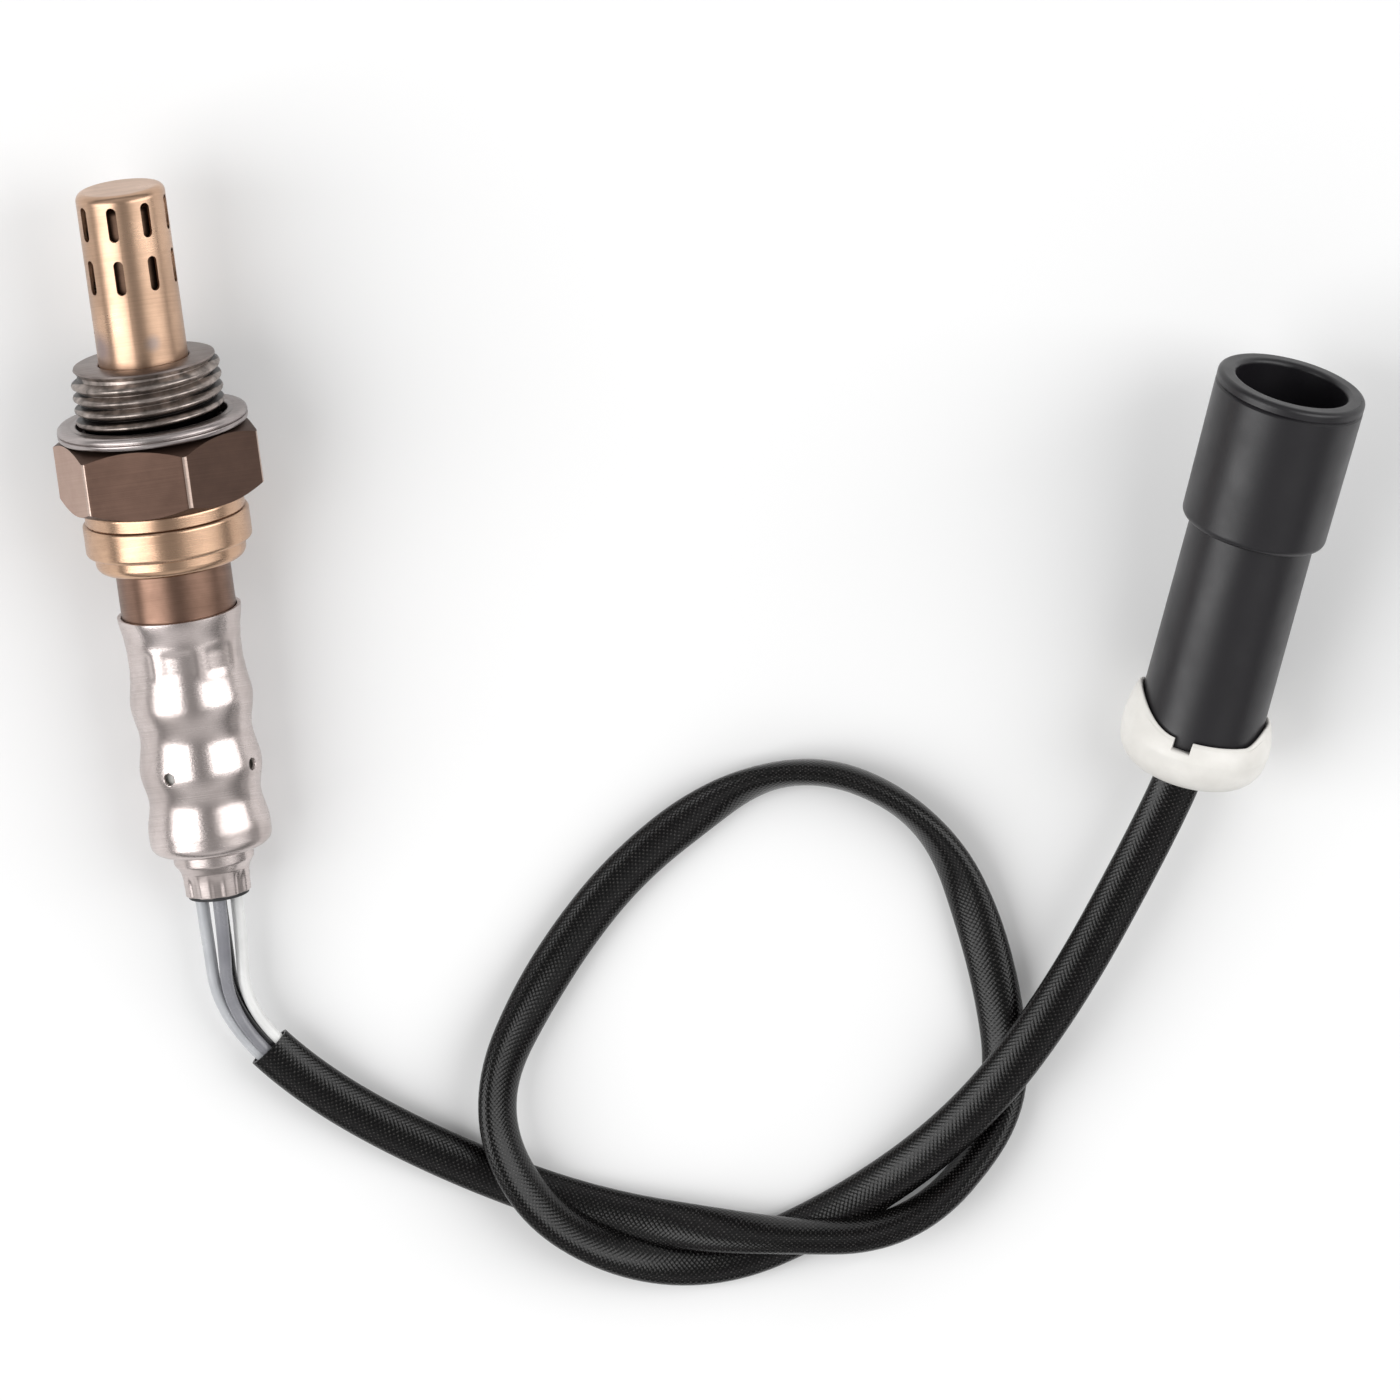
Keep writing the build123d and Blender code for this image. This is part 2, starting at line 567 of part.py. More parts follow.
with BuildPart() as outer_sleeve:
    sleeve_body(0, SLEEVE_REAR_AT, Mode.ADD)
    sleeve_body(SLEEVE_WALL, SLEEVE_REAR_AT + SLEEVE_WALL, Mode.SUBTRACT)
    ferrule_hole = FERRULE_SHOULDER_DIAMETER + 2 * COLLAR_CLEARANCE
    ring(0, ferrule_hole, SLEEVE_REAR_AT + 2 * SLEEVE_WALL, SLEEVE_REAR_AT - SLEEVE_WALL, mode=Mode.SUBTRACT)
    for index in range(VENT_COUNT):
        with BuildSketch(outward(VENT_AT, VENT_TURN + index * 360 / VENT_COUNT)):
            Circle(VENT_DIAMETER / 2)
        extrude(amount=BAND_DIAMETER, mode=Mode.SUBTRACT)
    crimp_mid = (SLEEVE_CRIMP_AT + SLEEVE_CRIMP_END_AT) / 2
    crimp_floor = sleeve_crimp_radius - CRIMP_DEPTH
    for index in range(CRIMP_COUNT):
        with BuildSketch(outward(crimp_mid, CRIMP_TURN + index * 360 / CRIMP_COUNT, crimp_floor)):
            Rectangle(CRIMP_LENGTH, CRIMP_WIDTH)
        extrude(amount=SLEEVE_WALL * 2, mode=Mode.SUBTRACT)
save(outer_sleeve, "outer_sleeve")

with BuildPart() as vent_filter:
    filter_bore = CASING_NECK_DIAMETER + 2 * COLLAR_CLEARANCE
    ring(filter_bore, filter_bore + 2 * FILTER_WALL, VENT_AT + FILTER_LENGTH / 2, VENT_AT - FILTER_LENGTH / 2)
save(vent_filter, "vent_filter")

# === Ferrule and grommet ===================================================================
flange_rear = SLEEVE_REAR_AT + SLEEVE_WALL + COLLAR_CLEARANCE
ferrule_points = [
    (FERRULE_FLANGE_DIAMETER / 2, flange_rear + FERRULE_FLANGE_LENGTH),
    (FERRULE_FLANGE_DIAMETER / 2, flange_rear),
    (FERRULE_SHOULDER_DIAMETER / 2, flange_rear),
    (FERRULE_SHOULDER_DIAMETER / 2, SLEEVE_REAR_AT),
    (FERRULE_DIAMETER / 2, FERRULE_STEP_AT),
    (FERRULE_DIAMETER / 2, FERRULE_REAR_AT),
]


def inside(points, inset):
    """The ferrule's outline, a wall's thickness further in; its flange's back moves forward."""
    moved = [(radius - inset, station) for radius, station in points]
    for index in (1, 2):
        radius, station = moved[index]
        moved[index] = (radius, station + inset)
    return moved


with BuildPart() as ferrule:
    turned(ferrule_points + inside(ferrule_points, FERRULE_WALL)[::-1])
    facet_at = (FERRULE_STEP_AT + FERRULE_REAR_AT) / 2
    facet_radius = FERRULE_DIAMETER / 2 - FERRULE_CRIMP_DEPTH
    for index in range(CRIMP_COUNT):
        with BuildSketch(outward(facet_at, FERRULE_CRIMP_TURN + index * 360 / CRIMP_COUNT, facet_radius)):
            Rectangle(FERRULE_CRIMP_LENGTH, FERRULE_CRIMP_WIDTH)
        extrude(amount=FERRULE_WALL, mode=Mode.SUBTRACT)
save(ferrule, "ferrule")

wire_hole_radius = WIRE_DIAMETER / 2 + WIRE_CLEARANCE
# Wires by name, with their places round the bundle: (to +X, up).
WIRE_PLACES = {
    "heater_wire_left": (-1, 0),
    "ground_wire": (0, 1),
    "signal_wire": (0, -1),
    "heater_wire_right": (1, 0),
}


def sensor_place(side, lift, radius):
    """A wire's place on the plane across the sensor, whose x points to -X."""
    return (-side * radius, lift * radius)


with BuildPart() as grommet:
    grommet_points = inside(ferrule_points, FERRULE_WALL + GROMMET_CLEARANCE)
    flange_radius, _ = grommet_points[0]
    rear_radius, _ = grommet_points[-1]
    turned(
        [(0, GROMMET_FRONT_AT), (flange_radius, GROMMET_FRONT_AT)]
        + grommet_points[1:]
        + [(rear_radius, GROMMET_REAR_AT), (0, GROMMET_REAR_AT)]
    )
    for side, lift in WIRE_PLACES.values():
        with BuildSketch(across.offset(GROMMET_REAR_AT)):
            with Locations(sensor_place(side, lift, GROMMET_PITCH_RADIUS)):
                Circle(wire_hole_radius)
        extrude(amount=GROMMET_FRONT_AT - GROMMET_REAR_AT, mode=Mode.SUBTRACT)
save(grommet, "grommet")

# === Contact holder, its spring and four contacts ==========================================
spring_outer = CASING_NECK_DIAMETER - 2 * CASING_WALL
spring_bore = spring_outer - 2 * HOLDER_SPRING_WALL
with BuildPart() as contact_holder:
    ring(0, spring_bore - 2 * CONTACT_SLOT_CLEARANCE, HOLDER_FRONT_AT, HOLDER_REAR_AT)
    for side, lift in WIRE_PLACES.values():
        with BuildSketch(across.offset(HOLDER_REAR_AT)):
            with Locations(sensor_place(side, lift, GROMMET_PITCH_RADIUS)):
                Circle(CONTACT_BARREL_DIAMETER / 2 + CONTACT_SLOT_CLEARANCE)
        extrude(amount=HOLDER_FRONT_AT - HOLDER_REAR_AT, mode=Mode.SUBTRACT)
save(contact_holder, "contact_holder")

with BuildPart() as holder_spring:
    ring(spring_bore, spring_outer, HOLDER_SPRING_AT, HOLDER_SPRING_AT - HOLDER_SPRING_LENGTH)
    with BuildSketch(outward(HOLDER_SPRING_AT - HOLDER_SPRING_LENGTH / 2, 180)):
        Rectangle(HOLDER_SPRING_LENGTH * 2, CONTACT_WIDTH)
    extrude(amount=spring_outer, mode=Mode.SUBTRACT)
save(holder_spring, "holder_spring")

CONTACT_NAMES = {
    "heater_wire_left": "heater_contact_left",
    "ground_wire": "ground_contact",
    "signal_wire": "signal_contact",
    "heater_wire_right": "heater_contact_right",
}
barrel_front = CONTACT_REAR_AT + CONTACT_BARREL_LENGTH
for wire_name, contact_name in CONTACT_NAMES.items():
    place = sensor_place(*WIRE_PLACES[wire_name], GROMMET_PITCH_RADIUS)
    flat_turn = 90 * abs(WIRE_PLACES[wire_name][0])
    with BuildPart() as contact:
        with BuildSketch(across.offset(barrel_front)):
            with Locations(place):
                Rectangle(CONTACT_WIDTH, CONTACT_THICKNESS, rotation=flat_turn)
        extrude(amount=CONTACT_FRONT_AT - barrel_front)
        with BuildSketch(across.offset(CONTACT_REAR_AT)):
            with Locations(place):
                Circle(CONTACT_BARREL_DIAMETER / 2)
        extrude(amount=CONTACT_BARREL_LENGTH)
        with BuildSketch(across.offset(CONTACT_REAR_AT)):
            with Locations(place):
                Circle(wire_hole_radius)
        extrude(amount=WIRE_START_AT - CONTACT_REAR_AT, mode=Mode.SUBTRACT)
    save(contact, contact_name)

# === Connector =============================================================================
# Stations along the connector count from its lip towards the lead.
mouth_radius = PLUG_MOUTH_DIAMETER / 2
with BuildPart() as connector_shell:
    collar_radius = PLUG_COLLAR_DIAMETER / 2
    collar_rear_radius = PLUG_COLLAR_REAR_DIAMETER / 2
    body_radius = PLUG_BODY_DIAMETER / 2
    turned(
        [
            (mouth_radius, 0),
            (collar_radius, 0),
            (collar_radius, PLUG_CREASE_AT - PLUG_CREASE_DEPTH),
            (collar_radius - PLUG_CREASE_DEPTH, PLUG_CREASE_AT),
            (collar_radius, PLUG_CREASE_AT + PLUG_CREASE_DEPTH),
            (collar_rear_radius, PLUG_COLLAR_LENGTH),
            (body_radius, PLUG_COLLAR_LENGTH),
            (body_radius, PLUG_BODY_REAR_AT),
            (PLUG_REAR_BORE / 2, PLUG_BODY_REAR_AT),
            (PLUG_REAR_BORE / 2, PLUG_SOCKET_DEPTH),
            (PLUG_SOCKET_DIAMETER / 2, PLUG_SOCKET_DEPTH),
            (PLUG_SOCKET_DIAMETER / 2, PLUG_MOUTH_DEPTH),
            (mouth_radius, PLUG_MOUTH_DEPTH),
        ],
        plug_half,
        plug_axis,
        rounds=[
            ((mouth_radius, 0), PLUG_LIP_RADIUS),
            ((collar_radius, 0), PLUG_LIP_RADIUS),
            ((collar_rear_radius, PLUG_COLLAR_LENGTH), PLUG_COLLAR_EDGE_RADIUS),
        ],
    )
save(connector_shell, "connector_shell")

cap_top = plug_across.y_dir * cos(radians(CAP_NOTCH_TURN)) + plug_right * sin(radians(CAP_NOTCH_TURN))
with BuildPart() as connector_cap:
    cap_radius = CAP_DIAMETER / 2
    cap_inner = PLUG_BODY_DIAMETER / 2 + CAP_WALL_GAP
    cap_floor_at = PLUG_LENGTH - CAP_FLOOR
    cap_hole = SLEEVING_DIAMETER / 2 + CAP_HOLE_CLEARANCE
    turned(
        [
            (cap_inner, CAP_FRONT_AT),
            (cap_radius, CAP_FRONT_AT),
            (cap_radius, PLUG_LENGTH),
            (cap_hole, PLUG_LENGTH),
            (cap_hole, cap_floor_at),
            (cap_inner, cap_floor_at),
        ],
        plug_half,
        plug_axis,
        rounds=[((cap_radius, PLUG_LENGTH), CAP_REAR_RADIUS)],
    )
    saddle_radius = (cap_radius**2 + CAP_SADDLE_DEPTH**2) / 2 / CAP_SADDLE_DEPTH
    saddle_floor = CAP_FRONT_AT + CAP_SADDLE_DEPTH
    saddle_centre = plug_lip - plug_direction * (saddle_floor - saddle_radius)
    with BuildSketch(Plane(origin=saddle_centre, x_dir=plug_direction, z_dir=cap_top)):
        Circle(saddle_radius)
    extrude(amount=CAP_DIAMETER, both=True, mode=Mode.SUBTRACT)
    notch_centre = plug_lip - plug_direction * saddle_floor
    with BuildSketch(Plane(origin=notch_centre, x_dir=plug_direction, z_dir=cap_top)):
        Rectangle(2 * CAP_NOTCH_DEPTH, CAP_NOTCH_WIDTH)
    extrude(amount=CAP_DIAMETER, mode=Mode.SUBTRACT)
save(connector_cap, "connector_cap")


def plug_place(side, lift, radius):
    """A wire's place on the plane across the connector, reached along the turned lead."""
    return (-side * radius, lift * radius)


with BuildPart() as pin_holder:
    holder_diameter = PLUG_REAR_BORE - 2 * SEAL_CLEARANCE
    holder_rear = PLUG_SOCKET_DEPTH + PIN_HOLDER_LENGTH
    ring(0, holder_diameter, PLUG_SOCKET_DEPTH, holder_rear, plug_half, plug_axis)
    for side, lift in WIRE_PLACES.values():
        place = plug_place(side, lift, PLUG_PITCH_RADIUS)
        with BuildSketch(plug_across.offset(PLUG_SOCKET_DEPTH)):
            with Locations(place):
                Circle(PIN_DIAMETER / 2 + PIN_CLEARANCE)
        extrude(amount=PIN_HOLDER_LENGTH, mode=Mode.SUBTRACT)
        with BuildSketch(plug_across.offset(PIN_BARREL_AT)):
            with Locations(place):
                Circle(PIN_BARREL_DIAMETER / 2 + PIN_CLEARANCE)
        extrude(amount=holder_rear - PIN_BARREL_AT, mode=Mode.SUBTRACT)
save(pin_holder, "pin_holder")

PIN_NAMES = {
    "heater_wire_left": "heater_pin_left",
    "ground_wire": "ground_pin",
    "signal_wire": "signal_pin",
    "heater_wire_right": "heater_pin_right",
}
for wire_name, pin_name in PIN_NAMES.items():
    place = plug_place(*WIRE_PLACES[wire_name], PLUG_PITCH_RADIUS)
    with BuildPart() as pin:
        with BuildSketch(plug_across.offset(PIN_TIP_AT)):
            with Locations(place):
                Circle(PIN_DIAMETER / 2)
        extrude(amount=PIN_BARREL_AT - PIN_TIP_AT)
        tip_edge = pin.edges().filter_by(GeomType.CIRCLE).sort_by_distance(plug_lip)[0]
        chamfer(tip_edge, PIN_DIAMETER / 4)
        with BuildSketch(plug_across.offset(PIN_BARREL_AT)):
            with Locations(place):
                Circle(PIN_BARREL_DIAMETER / 2)
        extrude(amount=PIN_REAR_AT - PIN_BARREL_AT)
        with BuildSketch(plug_across.offset(PIN_REAR_AT - WIRE_END_DEPTH)):
            with Locations(place):
                Circle(wire_hole_radius)
        extrude(amount=WIRE_END_DEPTH, mode=Mode.SUBTRACT)
    save(pin, pin_name)

with BuildPart() as connector_seal:
    seal_radius = PLUG_REAR_BORE / 2 - SEAL_CLEARANCE
    groove_floor = seal_radius - SEAL_GROOVE_DEPTH
    seal_mid = (SEAL_FRONT_AT + SEAL_REAR_AT) / 2
    turned(
        [
            (0, SEAL_FRONT_AT),
            (seal_radius, SEAL_FRONT_AT),
            (seal_radius, seal_mid - SEAL_GROOVE_WIDTH / 2),
            (groove_floor, seal_mid),
            (seal_radius, seal_mid + SEAL_GROOVE_WIDTH / 2),
            (seal_radius, SEAL_REAR_AT),
            (0, SEAL_REAR_AT),
        ],
        plug_half,
        plug_axis,
    )
    for side, lift in WIRE_PLACES.values():
        with BuildSketch(plug_across.offset(SEAL_FRONT_AT)):
            with Locations(plug_place(side, lift, PLUG_PITCH_RADIUS)):
                Circle(wire_hole_radius)
        extrude(amount=SEAL_REAR_AT - SEAL_FRONT_AT, mode=Mode.SUBTRACT)
save(connector_seal, "connector_seal")


# === Lead ==================================================================================
def corner_radii(points):
    """Bend radii of a route: each arc takes the same share of the shorter run beside it."""
    radii = []
    for before, corner, after in zip(points, points[1:], points[2:]):
        run_in = corner - before
        run_out = after - corner
        half_turn = radians(run_in.get_angle(run_out)) / 2
        radii.append(ARC_SHARE * min(run_in.length, run_out.length) / tan(half_turn))
    return radii


def plan_normal(start, end):
    """Level unit vector to the right of the way from start to end."""
    way = end - start
    return Vector(way.Y, -way.X, 0).normalized()


def beside(before, point, after, side, lift):
    """Point beside a route's corner, so that both runs keep the same distance."""
    near = plan_normal(before, point)
    far = plan_normal(point, after)
    level = (near + far) / (1 + near.dot(far))
    return point + level * side + Vector(0, 0, 1) * lift


centre_route = [axis_origin + axis_direction * WIRE_START_AT, axis_origin + axis_direction * WIRE_BEND_AT]
centre_route += [Vector(*point) for point in LEAD_ROUTE]
centre_route += [plug_lip - plug_direction * PLUG_BEND_AT, plug_lip - plug_direction * SLEEVING_END_AT]


def wire_route(side, lift):
    """Route of one wire: grommet, beside the lead's centre line, connector, pin."""
    # Seen from behind, the wires keep their places, so the right-hand wire as the
    # sensor lies is on the left of the way that the lead goes.
    front = sensor_place(side, lift, GROMMET_PITCH_RADIUS)
    route = [across.from_local_coords((*front, station)) for station in (WIRE_START_AT, WIRE_BEND_AT)]
    reach = SLEEVING_PITCH_RADIUS
    for before, point, after in zip(centre_route[1:], centre_route[2:], centre_route[3:-1]):
        route.append(beside(before, point, after, -side * reach, lift * reach))
    for station, radius in (
        (PLUG_BEND_AT, SLEEVING_PITCH_RADIUS),
        (PLUG_GATHER_AT, SLEEVING_PITCH_RADIUS),
        (PLUG_SPREAD_AT, PLUG_PITCH_RADIUS),
        (PIN_REAR_AT - WIRE_END_DEPTH, PLUG_PITCH_RADIUS),
    ):
        route.append(plug_across.from_local_coords((*plug_place(side, lift, radius), station)))
    return route


for wire_name, (side, lift) in WIRE_PLACES.items():
    points = wire_route(side, lift)
    radii = corner_radii(points)
    with BuildPart() as wire:
        with BuildLine() as way:
            FilletPolyline(*points, radius=radii)
        with BuildSketch(Plane(origin=way.line @ 0, z_dir=way.line % 0)):
            Circle(WIRE_DIAMETER / 2)
        sweep(path=way.line)
    wire_length = way.wires()[0].length
    wire_section = pi * WIRE_DIAMETER**2 / 4
    print(
        wire_name,
        "length",
        round(wire_length, 1),
        "radii",
        [round(radius, 1) for radius in radii],
        "volume ratio",
        round(wire.part.volume / wire_section / wire_length, 4),
    )
    save(wire, wire_name)

mouth = centre_route[2] + (centre_route[3] - centre_route[2]) * MOUTH_SHARE
sleeving_points = [mouth] + centre_route[3:]
sleeving_radii = corner_radii(centre_route[2:])
with BuildPart() as sleeving:
    with BuildLine() as way:
        FilletPolyline(*sleeving_points, radius=sleeving_radii)
    with BuildSketch(Plane(origin=way.line @ 0, z_dir=way.line % 0)):
        Circle(SLEEVING_DIAMETER / 2)
    sweep(path=way.line)
    open_ends = sleeving.faces().filter_by(GeomType.PLANE)
    offset(amount=-SLEEVING_WALL, openings=open_ends)
sleeving_length = way.wires()[0].length
sleeving_section = pi * (SLEEVING_DIAMETER - SLEEVING_WALL) * SLEEVING_WALL
print(
    "sleeving length",
    round(sleeving_length, 1),
    "radii",
    [round(radius, 1) for radius in sleeving_radii],
    "volume ratio",
    round(sleeving.part.volume / sleeving_section / sleeving_length, 4),
)
save(sleeving, "sleeving")
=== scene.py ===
"""Looks of the oxygen sensor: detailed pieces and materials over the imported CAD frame."""

import json
from functools import partial
from math import atan2, ceil, cos, degrees, hypot, pi, radians, sin, tan

import bmesh
import bpy
from mathutils import Matrix, Vector


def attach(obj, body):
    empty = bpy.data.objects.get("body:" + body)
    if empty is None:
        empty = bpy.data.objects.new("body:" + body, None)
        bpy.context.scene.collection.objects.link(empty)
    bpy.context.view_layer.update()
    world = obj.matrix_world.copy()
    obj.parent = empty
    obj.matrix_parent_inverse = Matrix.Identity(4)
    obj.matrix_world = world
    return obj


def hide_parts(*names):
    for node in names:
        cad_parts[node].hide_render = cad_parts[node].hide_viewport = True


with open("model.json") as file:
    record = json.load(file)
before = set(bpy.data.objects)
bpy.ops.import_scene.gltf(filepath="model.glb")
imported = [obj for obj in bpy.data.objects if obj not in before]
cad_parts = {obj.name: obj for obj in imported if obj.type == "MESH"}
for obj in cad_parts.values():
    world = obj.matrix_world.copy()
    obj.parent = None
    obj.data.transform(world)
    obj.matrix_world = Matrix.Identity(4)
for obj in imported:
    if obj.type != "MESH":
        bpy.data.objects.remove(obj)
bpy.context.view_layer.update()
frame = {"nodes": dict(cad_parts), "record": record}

MM = 0.001
BODY = "root"

# === Sizes in mm ===========================================================================
# Stations along the sensor count from the hexagon's front face, positive towards the tip.
# Stations in the connector count from its lip towards the lead.

# --- Shell and thread ---
THREAD_MID_AT = 5.2
THREAD_PITCH = 1.5
THREAD_CREST_DIAMETER = 18.0
THREAD_ROOT_DIAMETER = 16.3
THREAD_FRONT_AT = 8.05
THREAD_REAR_AT = 1.4
THREAD_RIDGE_SHARE = 0.48         # half a ridge's foot, as a share of the pitch
THREAD_CREST_SHARE = 0.09         # half a ridge's flat crest
THREAD_STEPS = 96                 # mesh steps in a turn
THREAD_FADE = 30.0                # the ridge rises over the first and last 1/30 of its length
THREAD_GROOVE = 0.15              # depth of the neck behind the thread, below its root
NOSE_DIAMETER = 17.1
NOSE_AT = 8.8
NOSE_BEVEL = 0.3
NOSE_SKIN = 0.5                   # length of the nose that is worn as its face is
NOSE_BORE = 10.9
NOSE_BORE_DEPTH = 1.2
NOSE_BORE_BEVEL = 0.15
HEX_ACROSS_FLATS = 22.0
HEX_LENGTH = 8.4
HEX_TURN = 16.0
HEX_CHAMFER_SLOPE = 0.65
HEX_CHAMFER_START = 0.05          # behind the hexagon's face
HEX_EDGE_FLAT = 0.12              # corner taken off by the polish, as a radius
HEX_REFLECTING_FLAT_TURN = -74.0             # flat painted pale: a painted reflection of the floor
HEX_WEAR_AND_GLINT = 0.9                  # degrees each side of a corner painted bright: worn metal and a painted highlight
SHELL_REAR_DIAMETER = 14.8
SHELL_REAR_LENGTH = 6.8
SHELL_REAR_WALL = 1.5
SHELL_INNER_WALL = 1.8            # inside the hexagon

# --- Gasket ---
GASKET_DIAMETER = 22.9
GASKET_BORE = 18.2
GASKET_REAR_AT = 0.2
GASKET_THICKNESS = 1.6
GASKET_DISH = 0.12                # depth of the hollow round its bore
GASKET_SEAM_DEPTH = 0.35          # seam between its two rolled rims
GASKET_SEAM_HALF = 0.14

# --- Outer sleeve ---
SLEEVE_FRONT_AT = -22.1
SLEEVE_REAR_AT = -51.5
SLEEVE_PROFILE = (                # station, diameter, at each crest, waist and step
    (-22.1, 14.9),
    (-25.4, 14.0),
    (-29.6, 13.9),
    (-33.1, 14.75),
    (-37.2, 13.5),
    (-41.4, 14.7),
    (-45.1, 13.5),
    (-48.9, 14.7),
)
SLEEVE_END_RADIUS = 1.3
SLEEVE_END_STEPS = 8
SLEEVE_END_GAP = 0.05             # round the ferrule's shoulder
SLEEVE_WALL = 0.45
SLEEVE_BEVEL = 0.1
SLEEVE_STEP = 0.2                 # spacing of the mesh rings along the axis
CRIMP_COUNT = 8
CRIMP_AT = -27.5
CRIMP_RADIUS = 6.95               # of the sleeve where they lie
CRIMP_WIDTH = 5.0
CRIMP_LENGTH = 4.4
CRIMP_DEPTH = 0.15
CRIMP_TURN = -7.0
CRIMP_EDGE = 1.2                  # width of a crimp's sloping border
VENT_COUNT = 4
VENT_AT = -41.2
VENT_DIAMETER = 1.5
VENT_SIDES = 32
VENT_TURN = -32.0
VENT_REACH = (5.0, 9.0)           # radii that the cutters span

# --- Ferrule ---
FERRULE_SHOULDER_DIAMETER = 9.7
FERRULE_DIAMETER = 8.2
FERRULE_WALL = 0.4
FERRULE_FRONT_AT = -50.9
FERRULE_STEP_AT = -53.7
FERRULE_REAR_AT = -57.0
FERRULE_FLUTES = 8
FERRULE_FLUTE_DEPTH = 0.22
FERRULE_FLUTE_EDGE = (0.35, 0.8)  # share of half a flute's spacing over which it sinks
FERRULE_FLUTE_START = (0.3, 1.0)  # behind the step

# --- Connector and its cap ---
PLUG_MOUNT_AT = 4.55              # station of the connector's mount
CAP_EDGE = (                      # turn, station of the edge
    (-180.0, 44.4),
    (-88.0, 41.1),
    (-21.0, 44.4),
    (45.0, 44.3),
    (78.0, 42.4),
    (100.0, 42.4),
    (140.0, 44.4),
    (180.0, 44.4),
)
CAP_BORE_RADIUS = 7.75
CAP_EDGE_RADIUS = 8.3
CAP_EDGE_INSIDE = ((0.0, 0.5), (0.07, 0.14), (0.25, 0.0))       # out from the bore, behind the edge
CAP_EDGE_OUTSIDE = ((-0.2, 0.0), (-0.04, 0.14), (0.08, 0.4))    # out from the edge's radius, behind it
CAP_BULGE_RADIUS = 9.1
CAP_BULGE_PART = 0.6              # part of a half wave that the side's bulge follows
CAP_RADIUS = 9.0
CAP_ROUND = 4.0
CAP_ROUND_AT = 47.0
CAP_STEPS = 9                     # mesh steps along the side, and round the rear
CAP_REAR_AT = 51.0
CAP_FLOOR_AT = 46.9
CAP_HOLE_RADIUS = 2.8
CAP_NOTCH_WIDTH = 2.3
CAP_NOTCH_DEPTH = 1.3
CAP_NOTCH_TURN = -12.6
CAP_NOTCH_REACH = (5.0, 12.0)     # radii that the cutter spans
CAP_NOTCH_RUNOUT = 6.0            # how far the cutter stands in front of the edge

# --- Lead ---
LINE_STEPS = 16                   # points of the lead's line to each point of its route
WIRE_DIAMETER = 1.6
WIRE_SQUEEZE = 0.1                # taken off a wire's radius inside the sleeving
GROMMET_PITCH_RADIUS = 2.1
PLUG_PITCH_RADIUS = 3.0
SLEEVING_WIDTH = 5.7
SLEEVING_HEIGHT = 3.2
SLEEVING_WALL = 0.35
SLEEVING_SIDES = 64
SLEEVING_FULLNESS = 0.95          # 1 is an ellipse, less is squarer
SLEEVING_YARNS = 26               # yarns each way round the braid
SLEEVING_YARN_PITCH = 0.62        # along the lead for one yarn
WIRE_SIDES = 20
WIRE_START_AT = -45.0
WIRE_BEND_AT = -61.5
GROMMET_REAR_AT = -57.4
SLEEVING_END_AT = 47.6
PLUG_SPREAD_AT = 42.4
WIRE_END_AT = 32.5
MOUTH_SHARE = 0.42                # sleeving's open end, as a share of the route's third run

# --- Camera ---
PHOTO_PIXELS = 1400
CAMERA_AIM = (60.15, -28.16, 5.0)
CAMERA_DISTANCE = 2500.0
CAMERA_TILT = 7.0                 # degrees from straight down
CAMERA_ROLL = 7.68
CAMERA_FOCAL_PIXELS = 20891.0
FILM_WIDTH = 36.0

# --- Floor and light, in metres and watts ---
FLOOR_HALF = 3.0
FLOOR_SHADES = (0.86, 0.88)
SKY = ((0.1, 0.08), (0.6, 0.85), (1.0, 0.2))    # height as a sine, brightness
LAMP_AIM = (0.06, -0.03, 0.0)
LAMPS = {                         # place, width and length, power
    "left_lamp": ((-0.85, -0.05, 0.85), (0.8, 1.2), 10.2),
    "right_lamp": ((1.0, 0.05, 0.8), (0.7, 1.5), 8.8),
}

# --- Materials ---
FINE = 1 / MM                     # noise scale that makes one cell per mm
LATHE_LINES = (40, 40, 9 * FINE)  # noise scale across and along a turned piece's axis
TURNED_GRAIN = 0.000004           # depth in metres of the lathe's lines


# === Where the two turned halves stand =====================================================
class Place:
    """A turned piece's axis, with the directions right and up across it."""

    def __init__(self, mount_name, station, along):
        mount = next(m for m in frame["record"]["mounts"] if m["name"] == mount_name)
        outward = Vector(mount["axis"]).normalized()
        self.right = outward.cross(Vector((0, 0, 1))).normalized()
        self.up = self.right.cross(outward)
        self.axis = outward * along
        self.origin = Vector(mount["pos_m"]) - self.axis * station * MM

    def point(self, station, radius=0.0, turn=0.0):
        """Point in metres; turn is in degrees from straight up towards the right."""
        out = self.up * cos(radians(turn)) + self.right * sin(radians(turn))
        return self.origin + (self.axis * station + out * radius) * MM

    def measure(self, spot):
        """Station, radius and turn of a point in metres."""
        offset = (spot - self.origin) / MM
        sideways, lift = offset.dot(self.right), offset.dot(self.up)
        return offset.dot(self.axis), hypot(sideways, lift), degrees(atan2(sideways, lift))


sensor = Place("mounting_thread", THREAD_MID_AT, 1)
plug = Place("connector_mouth", PLUG_MOUNT_AT, -1)


# === Camera ================================================================================
def look(position, toward, roll):
    """Camera matrix: the picture's up is level +Y turned clockwise by roll."""
    back = (position - toward).normalized()
    level = Vector((sin(radians(roll)), cos(radians(roll)), 0))
    up = (level - back * level.dot(back)).normalized()
    right = up.cross(back)
    matrix = Matrix((right, up, back)).transposed().to_4x4()
    matrix.translation = position
    return matrix


aim = Vector(CAMERA_AIM) * MM
tilted = Vector((0, sin(radians(CAMERA_TILT)), cos(radians(CAMERA_TILT))))
camera = bpy.data.objects.new("camera", bpy.data.cameras.new("camera"))
bpy.context.scene.collection.objects.link(camera)
camera.data.sensor_width = FILM_WIDTH
camera.data.lens = FILM_WIDTH * CAMERA_FOCAL_PIXELS / PHOTO_PIXELS
camera.data.clip_start = 0.01
camera.matrix_world = look(aim + tilted * CAMERA_DISTANCE * MM, aim, CAMERA_ROLL)
bpy.context.scene.camera = camera


